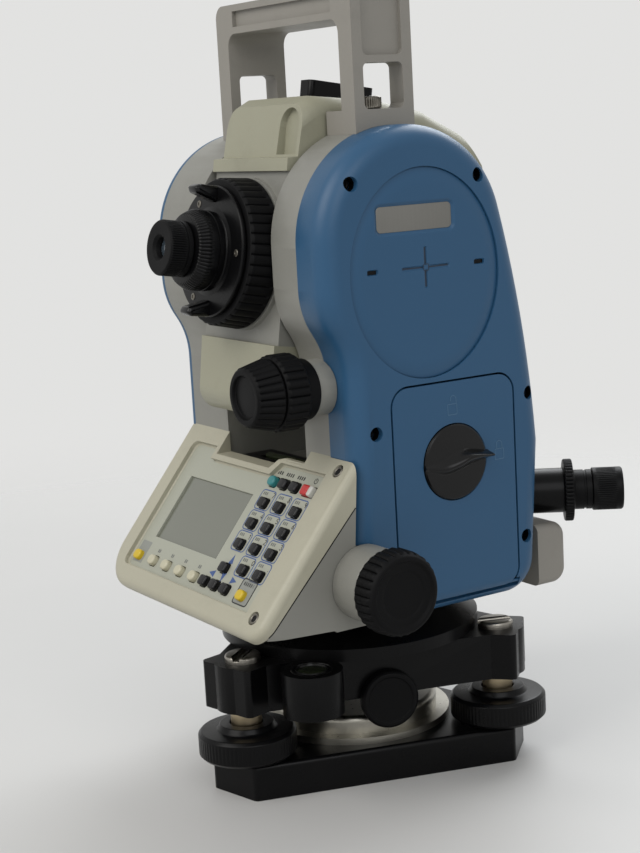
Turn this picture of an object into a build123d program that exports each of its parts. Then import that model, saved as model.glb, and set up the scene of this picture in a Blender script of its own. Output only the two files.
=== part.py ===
"""Total station on a three-screw tribrach, telescope dipped a little, in millimetres.

X runs along the trunnion axis towards the battery side, Y along the sight line away from the
keyboard, Z up the vertical axis. The origin is on the vertical axis, under the base plate.
"""
import os
from math import atan2, cos, degrees, radians, sin, sqrt

from build123d import *

os.makedirs("parts", exist_ok=True)

# Fits and gaps
running_fit = 0.05  # radial gap of a shaft that turns in its bore
turn_gap = 0.4  # gap between faces that slide past each other
seam = 0.3  # joint line between fixed covers

# Tribrach
tribrach_turn = -17.0  # outward direction of the near edge, from +X
foot_circle_r = 69.0
thread_r = 7.94  # tripod screw, 5/8 inch
base_plate_h = 16.0
base_half_w = 15.0  # of a corner, across the line out to its footscrew
base_reach = 9.5  # from the footscrew axis to the end of a corner
base_corner_r = 3.0
base_edge_r = 2.0
socket_r = 5.0
socket_depth = 8.0
spring_plate_h = 3.0
spring_hub_inset = 6.0
spring_hub_h = 8.0
spring_bore_r = 14.0
foot_knob_r = 22.0
foot_knob_h = 12.0
foot_knob_gap = 1.0
foot_neck_h = 10.0
foot_screw_r = 6.0
foot_bush_r = 8.0
foot_sleeve_r = 7.0
foot_collar_r = 13.2
foot_collar_h = 2.6
foot_cap_h = 3.2
foot_cap_slot = 1.6
foot_grooves = 40
foot_groove_r = 0.9
arm_h = 21.0
arm_half_w = 15.0
arm_reach = 11.5  # from the footscrew axis to the end of the arm
arm_root_r = 42.0
arm_corner_r = 2.5
body_corner_r = 13.0
level_reach = 60.0  # circular level, out from the axis
level_side = -35.0  # circular level, along the near edge
level_boss_r = 13.5
level_boss_h = 19.5
level_vial_r = 9.5
level_vial_h = 8.0
clamp_knob_r = 13.2
clamp_knob_w = 5.0
clamp_knob_side = 2.4
clamp_knob_drop = 0.9  # knob axis below the arms' underside
clamp_pin_r = 3.0
clamp_pin_h = 6.0
clamp_lug_r = 8.0

# Instrument base and vertical axis
base_flange_r = 60.0
base_flange_h = 5.5
base_cone_h = 7.0
base_column_r = 46.0
base_column_h = 9.5
base_spigot_r = 39.0
base_spigot_h = 12.0
axis_r = 14.0
axis_bore_r = 7.5
axis_flange_r = 30.0
axis_flange_h = 6.0
alidade_gap = 1.0
circle_h = 2.5
circle_inset = 5.0
circle_room = 3.0

# Alidade frame
standard_inner_x = 34.0
standard_w = 19.5
standard_wall = 7.5
pocket_rim = 4.0
deck_rise = 55.0
deck_front_y = -39.0
block_rear_y = 57.0
crown_y = -3.0
crown_r = 48.0
crown_rise = 11.3  # crown centre above the trunnion axis
crown_rear_turn = 15.0
shoulder_drop = 6.0
waist_y = -39.5
waist_drop = 44.0
rear_y = 60.5
rear_drop = 82.0
rear_foot_y = 55.0
rear_corner_r = 16.0
flare_y = -42.0  # lower front corner of the covers
flare_h = 32.0
axle_r = 9.0

# Side covers
cover_w = 20.0
cover_wall = 2.5
cover_drop = 2.5  # lower edge of the covers below the frame's underside
cover_edge_r = 9.0
left_outer_x = 70.5
left_cover_w = 4.5
left_cover_wall = 2.4
left_edge_r = 3.0
left_screw_depth = 3.0
oval_half_w = 38.0
oval_half_h = 44.0
oval_drop = 2.5
oval_gap = 3.2  # from the battery door up to the oval plate
oval_h = 1.6
label_y = -4.5
label_rise = 21.0
label_w = 39.0
label_h = 11.5
label_depth = 0.5
screw_head_r = 2.6
screw_hole_r = 3.1
screw_hole_depth = 8.0
screw_head_h = 2.0
screw_crown_inset = 7.0
screw_crown_turns = (38.0, 142.0)
screw_side_places = ((53.0, -60.0), (-29.0, -67.0), (49.0, -124.0))  # y, from the trunnion axis

# Battery door
door_y = 11.5
door_w = 64.0
door_h = 94.5
door_lift = 3.0  # above the alidade's underside
door_corner_r = 8.0
door_t = 4.0
door_gap = 0.9
door_pin_r = 0.8
door_pin_depth = 1.3
door_swing_r = 2.4  # room round the hinge for the door's lower edge
door_lug_w = 3.2
door_knob_y = 11.0
door_knob_rise = 62.6
door_knob_r = 16.5
door_knob_seat = 2.5
door_knob_proud = 1.0
door_grip_l = 34.5
door_grip_w = 8.0
door_grip_h = 5.5
door_spindle_r = 4.0
door_cam_l = 15.0
door_cam_w = 6.0
door_cam_t = 1.5
battery_w = 48.0
battery_h = 78.0
battery_t = 22.0

# Keyboard housing
face_lean = 39.3  # lean of the key face from the vertical
face_y = -75.0
face_rise = 22.6  # lower edge of the display above the alidade's underside
rim_h = 2.5
panel_bottom = -26.0
panel_left_r = 20.0
panel_right_r = 9.0
panel_edge_r = 3.6
seam_top_rise = 53.0
seam_front_y = -86.0
seam_front_rise = 4.0
wedge_front_rise = 2.5
box_depth = 6.0
box_wall = 7.0
notch_left = -33.0
notch_step = 14.0
notch_right = 38.0
notch_deep = 47.0
notch_shallow = 52.0
notch_slant = 4.0
plate_left = -58.0
plate_right = 57.0
plate_bottom = -16.0
plate_top = 50.5
plate_t = 1.0
plate_margin = 3.0
plate_corner_r = 4.0
lcd_left = -48.5
lcd_w = 59.5
lcd_h = 35.0
lcd_t = 1.6
lcd_lip = 1.0
panel_screw_inset = 9.5
panel_screw_vs = (53.5, -17.0)

# Keys, in face coordinates: u along X, v up the face from the display's lower edge
key_w = 5.6
key_h = 4.8
key_corner_r = 1.2
power_w = 8.0
key_stand = 2.4
key_root = 3.5
key_travel = 1.0
key_gap = 0.35
key_edge_r = 0.6
number_u = 22.2
number_pitch_u = 13.1
number_v = 31.5
number_pitch_v = 10.35
top_row_v = 42.1
bottom_row_v = -10.0
soft_u = -36.9
soft_pitch = 12.87

# Carrying handle
handle_half_w = 56.0
handle_front_y = -20.0
handle_depth = 30.0
handle_rise = 116.8  # top of the handle above the trunnion axis
handle_bar_h = 13.0
handle_leg_w = 10.0
handle_foot_rise = 66.1
handle_foot_sink = 14.0
handle_corner_r = 6.0
handle_post = 5.0
handle_window_h = 19.0
handle_sill = 3.0
handle_recess = 2.0
handle_screw_inset = 12.5
handle_window_r = 2.5
handle_screw_r = 5.9
handle_screw_h = 5.5
handle_shank_r = 3.0
handle_shank_l = 16.0

# Clamp and tangent knobs
vertical_knob_x = 49.8
vertical_knob_drop = 47.7
vertical_boss_r = 12.0
vertical_boss_y = -47.5
ring_w = 18.0
ring_r = 16.3
collar_w = 6.9
collar_r = 13.0
tangent_w = 12.0
tangent_r = 15.2
tangent_front_r = 12.2
knob_hub_r = 6.0
knob_pin_r = 3.0
horizontal_knob_y = -39.0
horizontal_knob_rise = 19.2
horizontal_boss_r = 13.5
horizontal_cheek_r = 16.0
horizontal_cheek_edge = 2.5
horizontal_boss_w = 18.2
horizontal_ring_r = 18.0
horizontal_ring_w = 5.6
horizontal_tangent_r = 18.0
horizontal_front_r = 16.8
horizontal_tangent_w = 6.0
knob_grooves = 36
groove_r = 0.9
knob_dish = 1.6
knob_pin_sink = 8.0
cover_cut_margin = 1.5

# Optical plummet
plummet_turn = 54.0
plummet_rise = 36.5
plummet_r = 10.3
plummet_root = 24.0
plummet_tube_end = 101.4
plummet_spigot_r = 7.0
plummet_spigot_end = 119.0
plummet_flange_r = 14.3
plummet_flange_w = 4.0
plummet_barrel_r = 9.1
plummet_barrel_end = 114.3
plummet_eye_r = 9.8
plummet_end = 128.6
plummet_eye_hole_r = 4.0

# Rear housing
rear_half_w = 66.0
rear_start_y = 61.2
rear_end_y = 78.0
rear_rise = 24.0
rear_foot_drop = 4.5  # below the frame's underside
rear_foot_y0 = 49.0
rear_neck_half_w = 33.0
rear_corner = 7.0

# Plate level
level_case_front = -34.5
level_case_depth = 17.0
level_case_h = 3.4
level_case_half_w = 33.0
level_tube_r = 4.2
level_tube_half_l = 22.0

# Telescope, in its own frame: Y along the sight line, origin on the trunnion axis
dip = 8.73  # objective end below the horizontal
scope_half_w = 32.0
scope_front = -44.0
scope_rear = 60.0
scope_top = 36.0
scope_bottom = -38.0
scope_bore_r = 19.0
spigot_r = 12.0
spigot_in = 9.0
axle_end_gap = 2.5
circle_r = 30.0
vertical_circle_t = 3.0
vertical_circle_gap = 1.5
cover_crown = 71.0
cover_front = -46.0
cover_ledge = 5.5
cover_set_back = 5.0
cover_top_front = 65.0
cover_rear = 62.0
cover_rear_top = 48.0
cover_crest_y = 34.0
cover_fall_y = 24.0  # where the crown starts to fall to the rear
cover_slope_y = 45.0
cover_slope_top = 62.0
cover_shell = 2.0
scope_edge_r = 8.0
arch_left = 14.0
arch_right = 29.5
arch_depth = 4.0
arch_margin = 3.0
belly_drop = 33.0
belly_front_r = 10.0
belly_rear_run = 20.0
belly_rear_drop = 14.0
objective_r = 27.0
objective_end = 80.0
lens_r = 22.5
lens_t = 6.0
lens_inset = 4.0
scope_collar_w = 2.2
scope_collar_r = 33.4
ring_front = 60.2  # front face of the focus ring, from the trunnion axis
focus_ring_r = 33.0
focus_front_r = 31.8
focus_tube_r = 20.0
focus_grooves = 40
focus_groove_r = 1.1
mount_plate_r = 28.5
mount_plate_t = 2.2
mount_barrel_r = 17.5
mount_shoulder = 71.5
mount_tip_r = 13.2
mount_end = 76.0
tab_half_w = 5.0
tab_t = 4.2
tab_end = 71.4
tab_reach = 27.5
eyepiece_end = 87.4
eyepiece_r = 12.0
eyepiece_pin_r = 8.0
eyepiece_hole_r = 4.0
eyepiece_pin_l = 7.0
sight_front = -20.5
sight_length = 34.0
sight_w = 10.0
sight_h = 7.6
sight_corner_r = 2.4

# Heights that follow from the stack
BOTTOM = (Align.CENTER, Align.CENTER, Align.MIN)
foot_turn = tribrach_turn + 60
foot_knob_z = base_plate_h + foot_knob_gap
foot_knob_top = foot_knob_z + foot_knob_h
arm_z = foot_knob_top + foot_neck_h
arm_top = arm_z + arm_h
spring_plate_r = foot_circle_r - foot_knob_r - 2 * foot_knob_gap
base_top = arm_top + base_flange_h + base_cone_h + base_column_h
alidade_z = base_top + alidade_gap
trunnion_rise = door_lift + door_h + oval_gap + oval_half_h + oval_drop
trunnion_z = alidade_z + trunnion_rise
deck_z = alidade_z + deck_rise
cover_bottom = alidade_z - cover_drop
crown_z = trunnion_z + crown_rise
cover_x = standard_inner_x + standard_w
outer_x = cover_x + cover_w
left_cover_x = left_outer_x - left_cover_w
handle_screw_x = handle_half_w - handle_screw_inset
panel_screw_u = outer_x - panel_screw_inset
handle_top = trunnion_z + handle_rise
handle_foot_top = trunnion_z + handle_foot_rise

# Frames that pieces are built in
near_edge = Location((0, 0, 0), (0, 0, tribrach_turn))
sight = Location((0, 0, trunnion_z), (-dip, 0, 0))
sight_side = Plane(sight * Plane.YZ.location)
to_eye = sight * Location((0, 0, 0), (90, 0, 0))
to_objective = sight * Location((0, 0, 0), (-90, 0, 0))
lean = radians(face_lean)
face = Plane((0, face_y, alidade_z + face_rise), x_dir=(1, 0, 0), z_dir=(0, -cos(lean), sin(lean)))
plummet_axis = (
    Location((0, 0, alidade_z + plummet_rise), (0, 0, plummet_turn)) * Location((0, 0, 0), (0, 90, 0))
)
vertical_knob = Location((vertical_knob_x, 0, trunnion_z - vertical_knob_drop), (90, 0, 0))
horizontal_knob = Location((outer_x, horizontal_knob_y, alidade_z + horizontal_knob_rise), (0, 90, 0))


def stack(place, steps, mode=Mode.ADD):
    """Coaxial cylinders along the Z axis of a location, each step being (start, end, radius)."""
    for start, end, radius in steps:
        with Locations(place * Location((0, 0, start))):
            Cylinder(radius, end - start, align=BOTTOM, mode=mode)


def grooves(place, start, end, radius, count, groove, taper=0.0):
    """Straight grooves cut round the rim of a coaxial cylinder, or of a cone of some taper in degrees."""
    with Locations(place * Location((0, 0, start))):
        with PolarLocations(radius, count):
            with Locations(Location((0, 0, 0), (0, -taper, 0))):
                Cylinder(groove, (end - start) / cos(radians(taper)), align=BOTTOM, mode=Mode.SUBTRACT)


def standard_outline(grow=0.0, sole_z=alidade_z):
    """Side view of a standard, Y across and Z up: round crown, waisted front, full rear."""
    with BuildSketch() as side:
        with BuildLine():
            crown = CenterArc((crown_y, crown_z), crown_r, crown_rear_turn, 180 - crown_rear_turn)
            shoulder = Line(crown @ 1, (crown_y - crown_r, trunnion_z - shoulder_drop))
            waist_point = Vector(waist_y, trunnion_z - waist_drop)
            middle = (shoulder @ 1 + waist_point) / 2
            hip = TangentArc(shoulder @ 1, middle, tangent=(0, -1))
            waist = TangentArc(middle, waist_point, tangent=hip % 1)
            shin = Line(waist @ 1, (waist_y, sole_z))
            sole = Line(shin @ 1, (rear_foot_y, sole_z))
            heel = Line(sole @ 1, (rear_y, trunnion_z - rear_drop))
            TangentArc(crown @ 0, heel @ 1, tangent=(crown % 0) * -1)
        make_face()
        fillet(side.vertices().sort_by_distance((rear_foot_y, sole_z))[0], rear_corner_r)
        if grow:
            offset(amount=grow)
    return side.sketch


def cover_outline(grow=0.0):
    """Side view of a cover: a standard's outline with its lower front edge flared forward."""
    with BuildSketch() as side:
        add(standard_outline(sole_z=cover_bottom))
        flare_z = alidade_z + horizontal_knob_rise + horizontal_boss_r + 2 * cover_cut_margin
        with BuildLine():
            Polyline(
                (waist_y, flare_z + flare_h),
                (flare_y, flare_z),
                (flare_y, cover_bottom),
                (waist_y + cover_edge_r, cover_bottom),
                (waist_y + cover_edge_r, flare_z + flare_h),
                close=True,
            )
        make_face()
        if grow:
            offset(amount=grow)
    return side.sketch


def cover_blank(start, width, edge_r, wall=0.0):
    """Solid of a side cover facing +X, drawn in by a wall on its outer faces."""
    with BuildPart() as blank:
        with BuildSketch(Plane.YZ.offset(start)):
            add(cover_outline(-wall))
        extrude(amount=width - wall)
        fillet(blank.faces().sort_by(Axis.X)[-1].edges(), edge_r - wall)
    return blank.part


def oval_outline(grow=0.0):
    """Oval of the plate on a side cover."""
    with BuildSketch() as oval:
        with Locations((0, trunnion_z - oval_drop)):
            Ellipse(oval_half_w + grow, oval_half_h + grow)
    return oval.sketch


screw_places = [
    (
        crown_y + (crown_r - screw_crown_inset) * cos(radians(turn)),
        crown_z + (crown_r - screw_crown_inset) * sin(radians(turn)),
    )
    for turn in screw_crown_turns
] + [(y, trunnion_z + up) for y, up in screw_side_places]
door_z = alidade_z + door_lift + door_h / 2
door_sill = alidade_z + door_lift
door_edge = cover_edge_r - door_lift - cover_drop
door_face_x = outer_x - cover_edge_r + sqrt(cover_edge_r**2 - door_edge**2)
door_pin_z = door_sill + door_pin_depth * 0.5
door_pin_x = door_face_x - door_pin_depth
door_opening_half = door_w / 2 + door_gap
door_pin_half = door_opening_half + door_lug_w / 2
door_knob_z = alidade_z + door_knob_rise

# Tribrach base plate with the tripod thread and the footscrew sockets
with BuildPart() as base_plate:
    with BuildSketch():
        with PolarLocations(foot_circle_r, 3, foot_turn):
            RectangleRounded(2 * base_reach, 2 * base_half_w, base_corner_r)
        make_hull()
    extrude(amount=base_plate_h)
    fillet(base_plate.faces().sort_by(Axis.Z)[-1].edges(), base_edge_r)
    Cylinder(thread_r, base_plate_h, align=BOTTOM, mode=Mode.SUBTRACT)
    with PolarLocations(foot_circle_r, 3, foot_turn):
        with Locations((0, 0, base_plate_h - socket_depth)):
            Cylinder(socket_r, socket_depth, align=BOTTOM, mode=Mode.SUBTRACT)
base_plate.part.label = "base_plate"
export_step(base_plate.part, "parts/base_plate.step")

# Round spring plate on the base plate
with BuildPart() as spring_plate:
    on_plate = Location((0, 0, base_plate_h))
    hub_r = spring_plate_r - spring_hub_inset
    stack(on_plate, [(0, spring_plate_h, spring_plate_r)])
    stack(on_plate, [(spring_plate_h, spring_plate_h + spring_hub_h, hub_r)])
    fillet(spring_plate.faces().sort_by(Axis.Z)[-1].edges(), spring_hub_h / 3)
    stack(on_plate, [(0, spring_plate_h + spring_hub_h, spring_bore_r)], Mode.SUBTRACT)
spring_plate.part.label = "spring_plate"
export_step(spring_plate.part, "parts/spring_plate.step")

# Upper body of the tribrach: web, three block arms, level boss and clamp lug
level_place = near_edge * Location((level_reach, level_side, 0))
clamp_axis = near_edge * Location(
    (foot_circle_r / 2 + body_corner_r, clamp_knob_side, arm_z - clamp_knob_drop), (0, 90, 0)
)
level_top = arm_top
with BuildPart() as tribrach_body:
    with BuildSketch(Plane.XY.offset(arm_z)):
        with PolarLocations(foot_circle_r, 3, foot_turn):
            Circle(body_corner_r)
        make_hull()
        with PolarLocations((arm_root_r + foot_circle_r + arm_reach) / 2, 3, foot_turn):
            RectangleRounded(foot_circle_r + arm_reach - arm_root_r, 2 * arm_half_w, arm_corner_r)
    extrude(amount=arm_h)
    stack(level_place, [(level_top - level_boss_h, level_top, level_boss_r)])
    with Locations(level_place * Location((-level_boss_r, 0, level_top - level_boss_h))):
        Box(2 * level_boss_r, level_boss_r, level_boss_h, align=BOTTOM)
    stack(clamp_axis, [(-body_corner_r, -seam, clamp_lug_r)])
    seat = base_spigot_r + turn_gap
    stack(Location(), [(arm_z - clamp_lug_r, arm_top, seat)], Mode.SUBTRACT)
    stack(level_place, [(level_top - level_vial_h, level_top, level_vial_r)], Mode.SUBTRACT)
    stack(clamp_axis, [(-clamp_pin_h, 0, clamp_pin_r + running_fit)], Mode.SUBTRACT)
    with PolarLocations(foot_circle_r, 3, foot_turn):
        with Locations((0, 0, arm_z)):
            Cylinder(foot_bush_r, arm_h, align=BOTTOM, mode=Mode.SUBTRACT)
tribrach_body.part.label = "tribrach_body"
export_step(tribrach_body.part, "parts/tribrach_body.step")

# Footscrew bushes: sleeves through the arms with slotted caps on top
cap_bore_end = arm_top - foot_cap_h
with BuildPart() as footscrew_bushes:
    with PolarLocations(foot_circle_r, 3, foot_turn):
        with Locations((0, 0, foot_knob_top + turn_gap)):
            Cylinder(foot_sleeve_r, arm_z - foot_knob_top - turn_gap, align=BOTTOM)
        with Locations((0, 0, arm_z)):
            Cylinder(foot_bush_r, arm_h + foot_cap_h, align=BOTTOM)
        with Locations((0, 0, foot_knob_top)):
            Cylinder(
                foot_screw_r, cap_bore_end - foot_knob_top, align=BOTTOM, mode=Mode.SUBTRACT
            )
        with Locations((0, 0, arm_top + foot_cap_h)):
            Box(foot_cap_slot, 2 * foot_bush_r, foot_cap_slot, mode=Mode.SUBTRACT)
footscrew_bushes.part.label = "footscrew_bushes"
export_step(footscrew_bushes.part, "parts/footscrew_bushes.step")

# Circular level: cup with its glass, in the boss
with BuildPart() as circular_level:
    stack(level_place, [(level_top - level_vial_h, level_top, level_vial_r)])
    stack(level_place, [(level_top, level_top + seam, level_vial_r - 2)])
circular_level.part.label = "circular_level"
export_step(circular_level.part, "parts/circular_level.step")

# Three footscrews, each a finely ribbed knob with a collar, on a spindle
for node, turn in (
    ("footscrew_right", foot_turn),
    ("footscrew_left", foot_turn + 120),
    ("footscrew_front", foot_turn + 240),
):
    place = Location((0, 0, 0), (0, 0, turn)) * Location((foot_circle_r, 0, 0))
    with BuildPart() as footscrew:
        stack(place, [(foot_knob_z, foot_knob_top, foot_knob_r)])
        rib_line = foot_knob_r + foot_groove_r / 2
        grooves(place, foot_knob_z, foot_knob_top, rib_line, foot_grooves, foot_groove_r)
        with Locations(place * Location((0, 0, foot_knob_top))):
            Cone(foot_collar_r, foot_collar_r - foot_collar_h / 2, foot_collar_h, align=BOTTOM)
        collar_room = [(foot_knob_top, foot_knob_top + foot_collar_h, foot_sleeve_r + turn_gap)]
        stack(place, collar_room, Mode.SUBTRACT)
        stack(
            place,
            [
                (base_plate_h - socket_depth + turn_gap, foot_knob_z, socket_r - running_fit),
                (foot_knob_top, cap_bore_end - turn_gap, foot_screw_r - running_fit),
            ],
        )
    footscrew.part.label = node
    export_step(footscrew.part, f"parts/{node}.step")

# Tribrach clamp knob on the near edge
with BuildPart() as tribrach_clamp_knob:
    stack(clamp_axis, [(-clamp_pin_h + turn_gap, turn_gap, clamp_pin_r)])
    stack(clamp_axis, [(turn_gap, turn_gap + clamp_knob_w, clamp_knob_r)])
    fillet(
        tribrach_clamp_knob.edges().filter_by(GeomType.CIRCLE).sort_by(SortBy.RADIUS)[-2:],
        clamp_knob_w / 5,
    )
tribrach_clamp_knob.part.label = "tribrach_clamp_knob"
export_step(tribrach_clamp_knob.part, "parts/tribrach_clamp_knob.step")

# Round instrument base with its spigot and the bush of the vertical axis
with BuildPart() as instrument_base:
    flange_top = arm_top + base_flange_h
    stack(Location(), [(arm_top - base_spigot_h, arm_top, base_spigot_r)])
    stack(Location(), [(arm_top, flange_top, base_flange_r)])
    with Locations((0, 0, flange_top)):
        Cone(base_flange_r, base_column_r, base_cone_h, align=BOTTOM)
    stack(Location(), [(flange_top + base_cone_h, base_top, base_column_r)])
    bush_bottom = arm_top - base_spigot_h
    stack(Location(), [(bush_bottom, base_top, axis_r + running_fit)], Mode.SUBTRACT)
instrument_base.part.label = "instrument_base"
export_step(instrument_base.part, "parts/instrument_base.step")

# Glass horizontal circle on top of the base
with BuildPart() as horizontal_circle:
    stack(Location(), [(base_top, base_top + circle_h, base_column_r - circle_inset)])
    stack(Location(), [(base_top, base_top + circle_h, axis_r + turn_gap)], Mode.SUBTRACT)
horizontal_circle.part.label = "horizontal_circle"
export_step(horizontal_circle.part, "parts/horizontal_circle.step")

# Hollow vertical axis, flanged to the underside of the frame
flange_z = base_top + circle_h + circle_room
with BuildPart() as vertical_axis:
    stack(Location(), [(bush_bottom, flange_z, axis_r)])
    stack(Location(), [(flange_z, flange_z + axis_flange_h, axis_flange_r)])
    stack(Location(), [(bush_bottom, flange_z + axis_flange_h, axis_bore_r)], Mode.SUBTRACT)
vertical_axis.part.label = "vertical_axis"
export_step(vertical_axis.part, "parts/vertical_axis.step")

# Keyboard side of the frame: the sloping seam under the keyboard housing
seam_foot = Vector(seam_front_y, alidade_z + seam_front_rise)
seam_head = Vector(waist_y, alidade_z + seam_top_rise)
seam_way = (seam_head - seam_foot).normalized()
seam_plane = Plane(
    (0, seam_foot.X, seam_foot.Y), x_dir=(1, 0, 0), z_dir=(0, -seam_way.Y, seam_way.X)
)
seam_length = (seam_head - seam_foot).length
box_half_w = left_outer_x - box_wall
knob_z = alidade_z + horizontal_knob_rise
knob_cut_r = horizontal_boss_r + cover_cut_margin


def knob_bracket(grow=0.0):
    """Side view of the bracket that carries the horizontal knob, below the flare of a cover."""
    radius = knob_cut_r + grow
    with BuildSketch() as side:
        with Locations((horizontal_knob_y, knob_z)):
            Circle(radius)
            Rectangle(2 * radius, knob_z - alidade_z + cover_edge_r, align=(Align.CENTER, Align.MAX))
    return side.sketch


panel_w = left_outer_x + outer_x


def panel_corners():
    """Outline of the keyboard housing on its face, with the lower corners rounded."""
    with BuildSketch(face.offset(rim_h + box_depth)) as corners:
        with Locations((-left_outer_x, panel_bottom)):
            Rectangle(panel_w, trunnion_rise, align=(Align.MIN, Align.MIN))
        for x, radius in ((-left_outer_x, panel_left_r), (outer_x, panel_right_r)):
            fillet(corners.vertices().sort_by_distance((x, panel_bottom))[0], radius)
    return corners.sketch


with BuildPart() as keyboard_wedge:
    # Wedge under the keyboard housing, full width
    with BuildSketch(Plane.YZ.offset(-left_outer_x)):
        with BuildLine():
            Polyline(
                (seam_foot.X, seam_foot.Y),
                (seam_foot.X, alidade_z + wedge_front_rise),
                (waist_y, alidade_z),
                (waist_y + 1, alidade_z),
                (waist_y + 1, seam_head.Y),
                (seam_head.X, seam_head.Y),
                close=True,
            )
        make_face()
    extrude(amount=panel_w)
    extrude(panel_corners(), amount=-15 * box_depth, mode=Mode.INTERSECT)

with BuildPart() as frame_blank:
    # Two standards and the block that joins them
    left_standard_w = left_cover_x - standard_inner_x
    for x, width in ((standard_inner_x, standard_w), (-left_cover_x, left_standard_w)):
        with BuildSketch(Plane.YZ.offset(x)):
            add(standard_outline())
        extrude(amount=width)
    with BuildSketch(Plane.YZ.offset(-left_cover_x)):
        with BuildLine():
            Polyline(
                (deck_front_y, alidade_z),
                (block_rear_y - pocket_rim, alidade_z),
                (block_rear_y, alidade_z + pocket_rim),
                (block_rear_y, deck_z),
                (deck_front_y, deck_z),
                close=True,
            )
        make_face()
    extrude(amount=left_cover_x + cover_x)
    add(keyboard_wedge.part)
    # Bracket below the right cover's flare, trimmed level with the underside
    with BuildSketch(Plane.YZ.offset(cover_x)):
        add(knob_bracket(-seam))
        with Locations((horizontal_knob_y, alidade_z)):
            Rectangle(4 * knob_cut_r, cover_w, align=(Align.CENTER, Align.MAX), mode=Mode.SUBTRACT)
    extrude(amount=cover_w)
    # Bosses of the vertical and the horizontal knobs
    stack(vertical_knob, [(-waist_y - pocket_rim, -vertical_boss_y, vertical_boss_r)])
    stack(horizontal_knob, [(-cover_w, turn_gap, horizontal_boss_r)])
    stack(horizontal_knob, [(turn_gap, horizontal_boss_w, horizontal_cheek_r)])
    rims = edges(Select.LAST).filter_by(GeomType.CIRCLE).sort_by(Axis.X)
    fillet(rims[-1], horizontal_cheek_edge)

with BuildPart() as alidade_frame:
    add(frame_blank.part)
    # Room for the covers on both sides, on the right round the horizontal knob's boss
    with BuildSketch(Plane.YZ.offset(cover_x)):
        add(cover_outline(seam))
        add(knob_bracket(-seam), mode=Mode.SUBTRACT)
    extrude(amount=cover_w, mode=Mode.SUBTRACT)
    with BuildSketch(Plane.YZ.offset(-left_outer_x)):
        add(cover_outline(seam))
    extrude(amount=left_cover_w, mode=Mode.SUBTRACT)
    # Pockets behind the covers
    inner_wall = standard_inner_x + standard_wall
    for x, depth in ((inner_wall, cover_x - inner_wall), (-left_cover_x, left_cover_x - inner_wall)):
        with BuildSketch(Plane.YZ.offset(x)):
            add(standard_outline(-pocket_rim))
        extrude(amount=depth, mode=Mode.SUBTRACT)
    stack(
        Location((0, 0, trunnion_z), (0, 90, 0)),
        [(-outer_x, outer_x, axle_r + running_fit)],
        Mode.SUBTRACT,
    )
    # Room for the box behind the keyboard housing
    with BuildSketch(seam_plane):
        with Locations((0, seam_length / 2)):
            Rectangle(2 * (box_half_w + seam), seam_length - 2 * (box_wall - seam))
    extrude(amount=-box_depth - seam, mode=Mode.SUBTRACT)
    # Horizontal circle's room, the axis flange's seat and the plummet's light path
    circle_top = flange_z
    stack(Location(), [(alidade_z, circle_top, base_column_r - circle_inset + circle_room)], Mode.SUBTRACT)
    stack(Location(), [(circle_top, flange_z + axis_flange_h, axis_flange_r)], Mode.SUBTRACT)
    stack(
        Location(),
        [(alidade_z, alidade_z + plummet_rise + plummet_r / 2, axis_bore_r)],
        Mode.SUBTRACT,
    )
    stack(plummet_axis, [(0, plummet_root, plummet_spigot_r)], Mode.SUBTRACT)
    stack(plummet_axis, [(plummet_root, plummet_end, plummet_r)], Mode.SUBTRACT)
    # Hollow hubs of the knobs
    stack(vertical_knob, [(-vertical_boss_y, -vertical_boss_y + ring_w, knob_hub_r)])
    stack(horizontal_knob, [(horizontal_boss_w, horizontal_boss_w + horizontal_ring_w, knob_hub_r)])
    pin_hole = knob_pin_r + running_fit
    stack(vertical_knob, [(-waist_y, -vertical_boss_y + ring_w, pin_hole)], Mode.SUBTRACT)
    stack(
        horizontal_knob,
        [(-horizontal_boss_w, horizontal_boss_w + horizontal_ring_w, pin_hole)],
        Mode.SUBTRACT,
    )
    # Threaded holes of the handle screws
    screw_y = handle_front_y + handle_depth / 2
    for x in (handle_screw_x, -handle_screw_x):
        stack(
            Location((x, screw_y, 0)),
            [(handle_foot_top - handle_shank_l - 1, handle_foot_top, handle_shank_r + running_fit)],
            Mode.SUBTRACT,
        )
    # The standards stand on the base at the deck
    split(bisect_by=Plane.XY.offset(deck_z), keep=Keep.BOTH)
alidade_frame.part.label = "alidade_frame"
export_step(alidade_frame.part, "parts/alidade_frame.step")

# Side covers: shells with an oval seat, screw holes and a cut round the knob boss
right_blank = cover_blank(cover_x, cover_w, cover_edge_r)


def hollow_cover(start, width, edge_r, wall, hole_depth):
    """Hollow side cover facing +X, with the seat of its oval plate and its screw holes."""
    holes = [Location((start, y, z), (0, 90, 0)) for y, z in screw_places]
    with BuildPart() as bosses:
        for hole in holes:
            stack(hole, [(0, width, screw_hole_r + wall / 2)])
        add(cover_blank(start, width, edge_r, wall / 2), mode=Mode.INTERSECT)
    with BuildPart() as shell:
        add(cover_blank(start, width, edge_r))
        add(cover_blank(start, width, edge_r, wall), mode=Mode.SUBTRACT)
        with BuildSketch(Plane.YZ.offset(start + width - oval_h)):
            add(oval_outline(seam))
        extrude(amount=oval_h, mode=Mode.SUBTRACT)
        add(bosses.part)
        for hole in holes:
            stack(hole, [(width - hole_depth, width, screw_hole_r)], Mode.SUBTRACT)
    return shell.part


with BuildPart() as left_cover:
    add(hollow_cover(left_cover_x, left_cover_w, left_edge_r, left_cover_wall, left_screw_depth))
    mirror(about=Plane.YZ, mode=Mode.REPLACE)
left_cover.part.label = "left_cover"
export_step(left_cover.part, "parts/left_cover.step")

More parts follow.
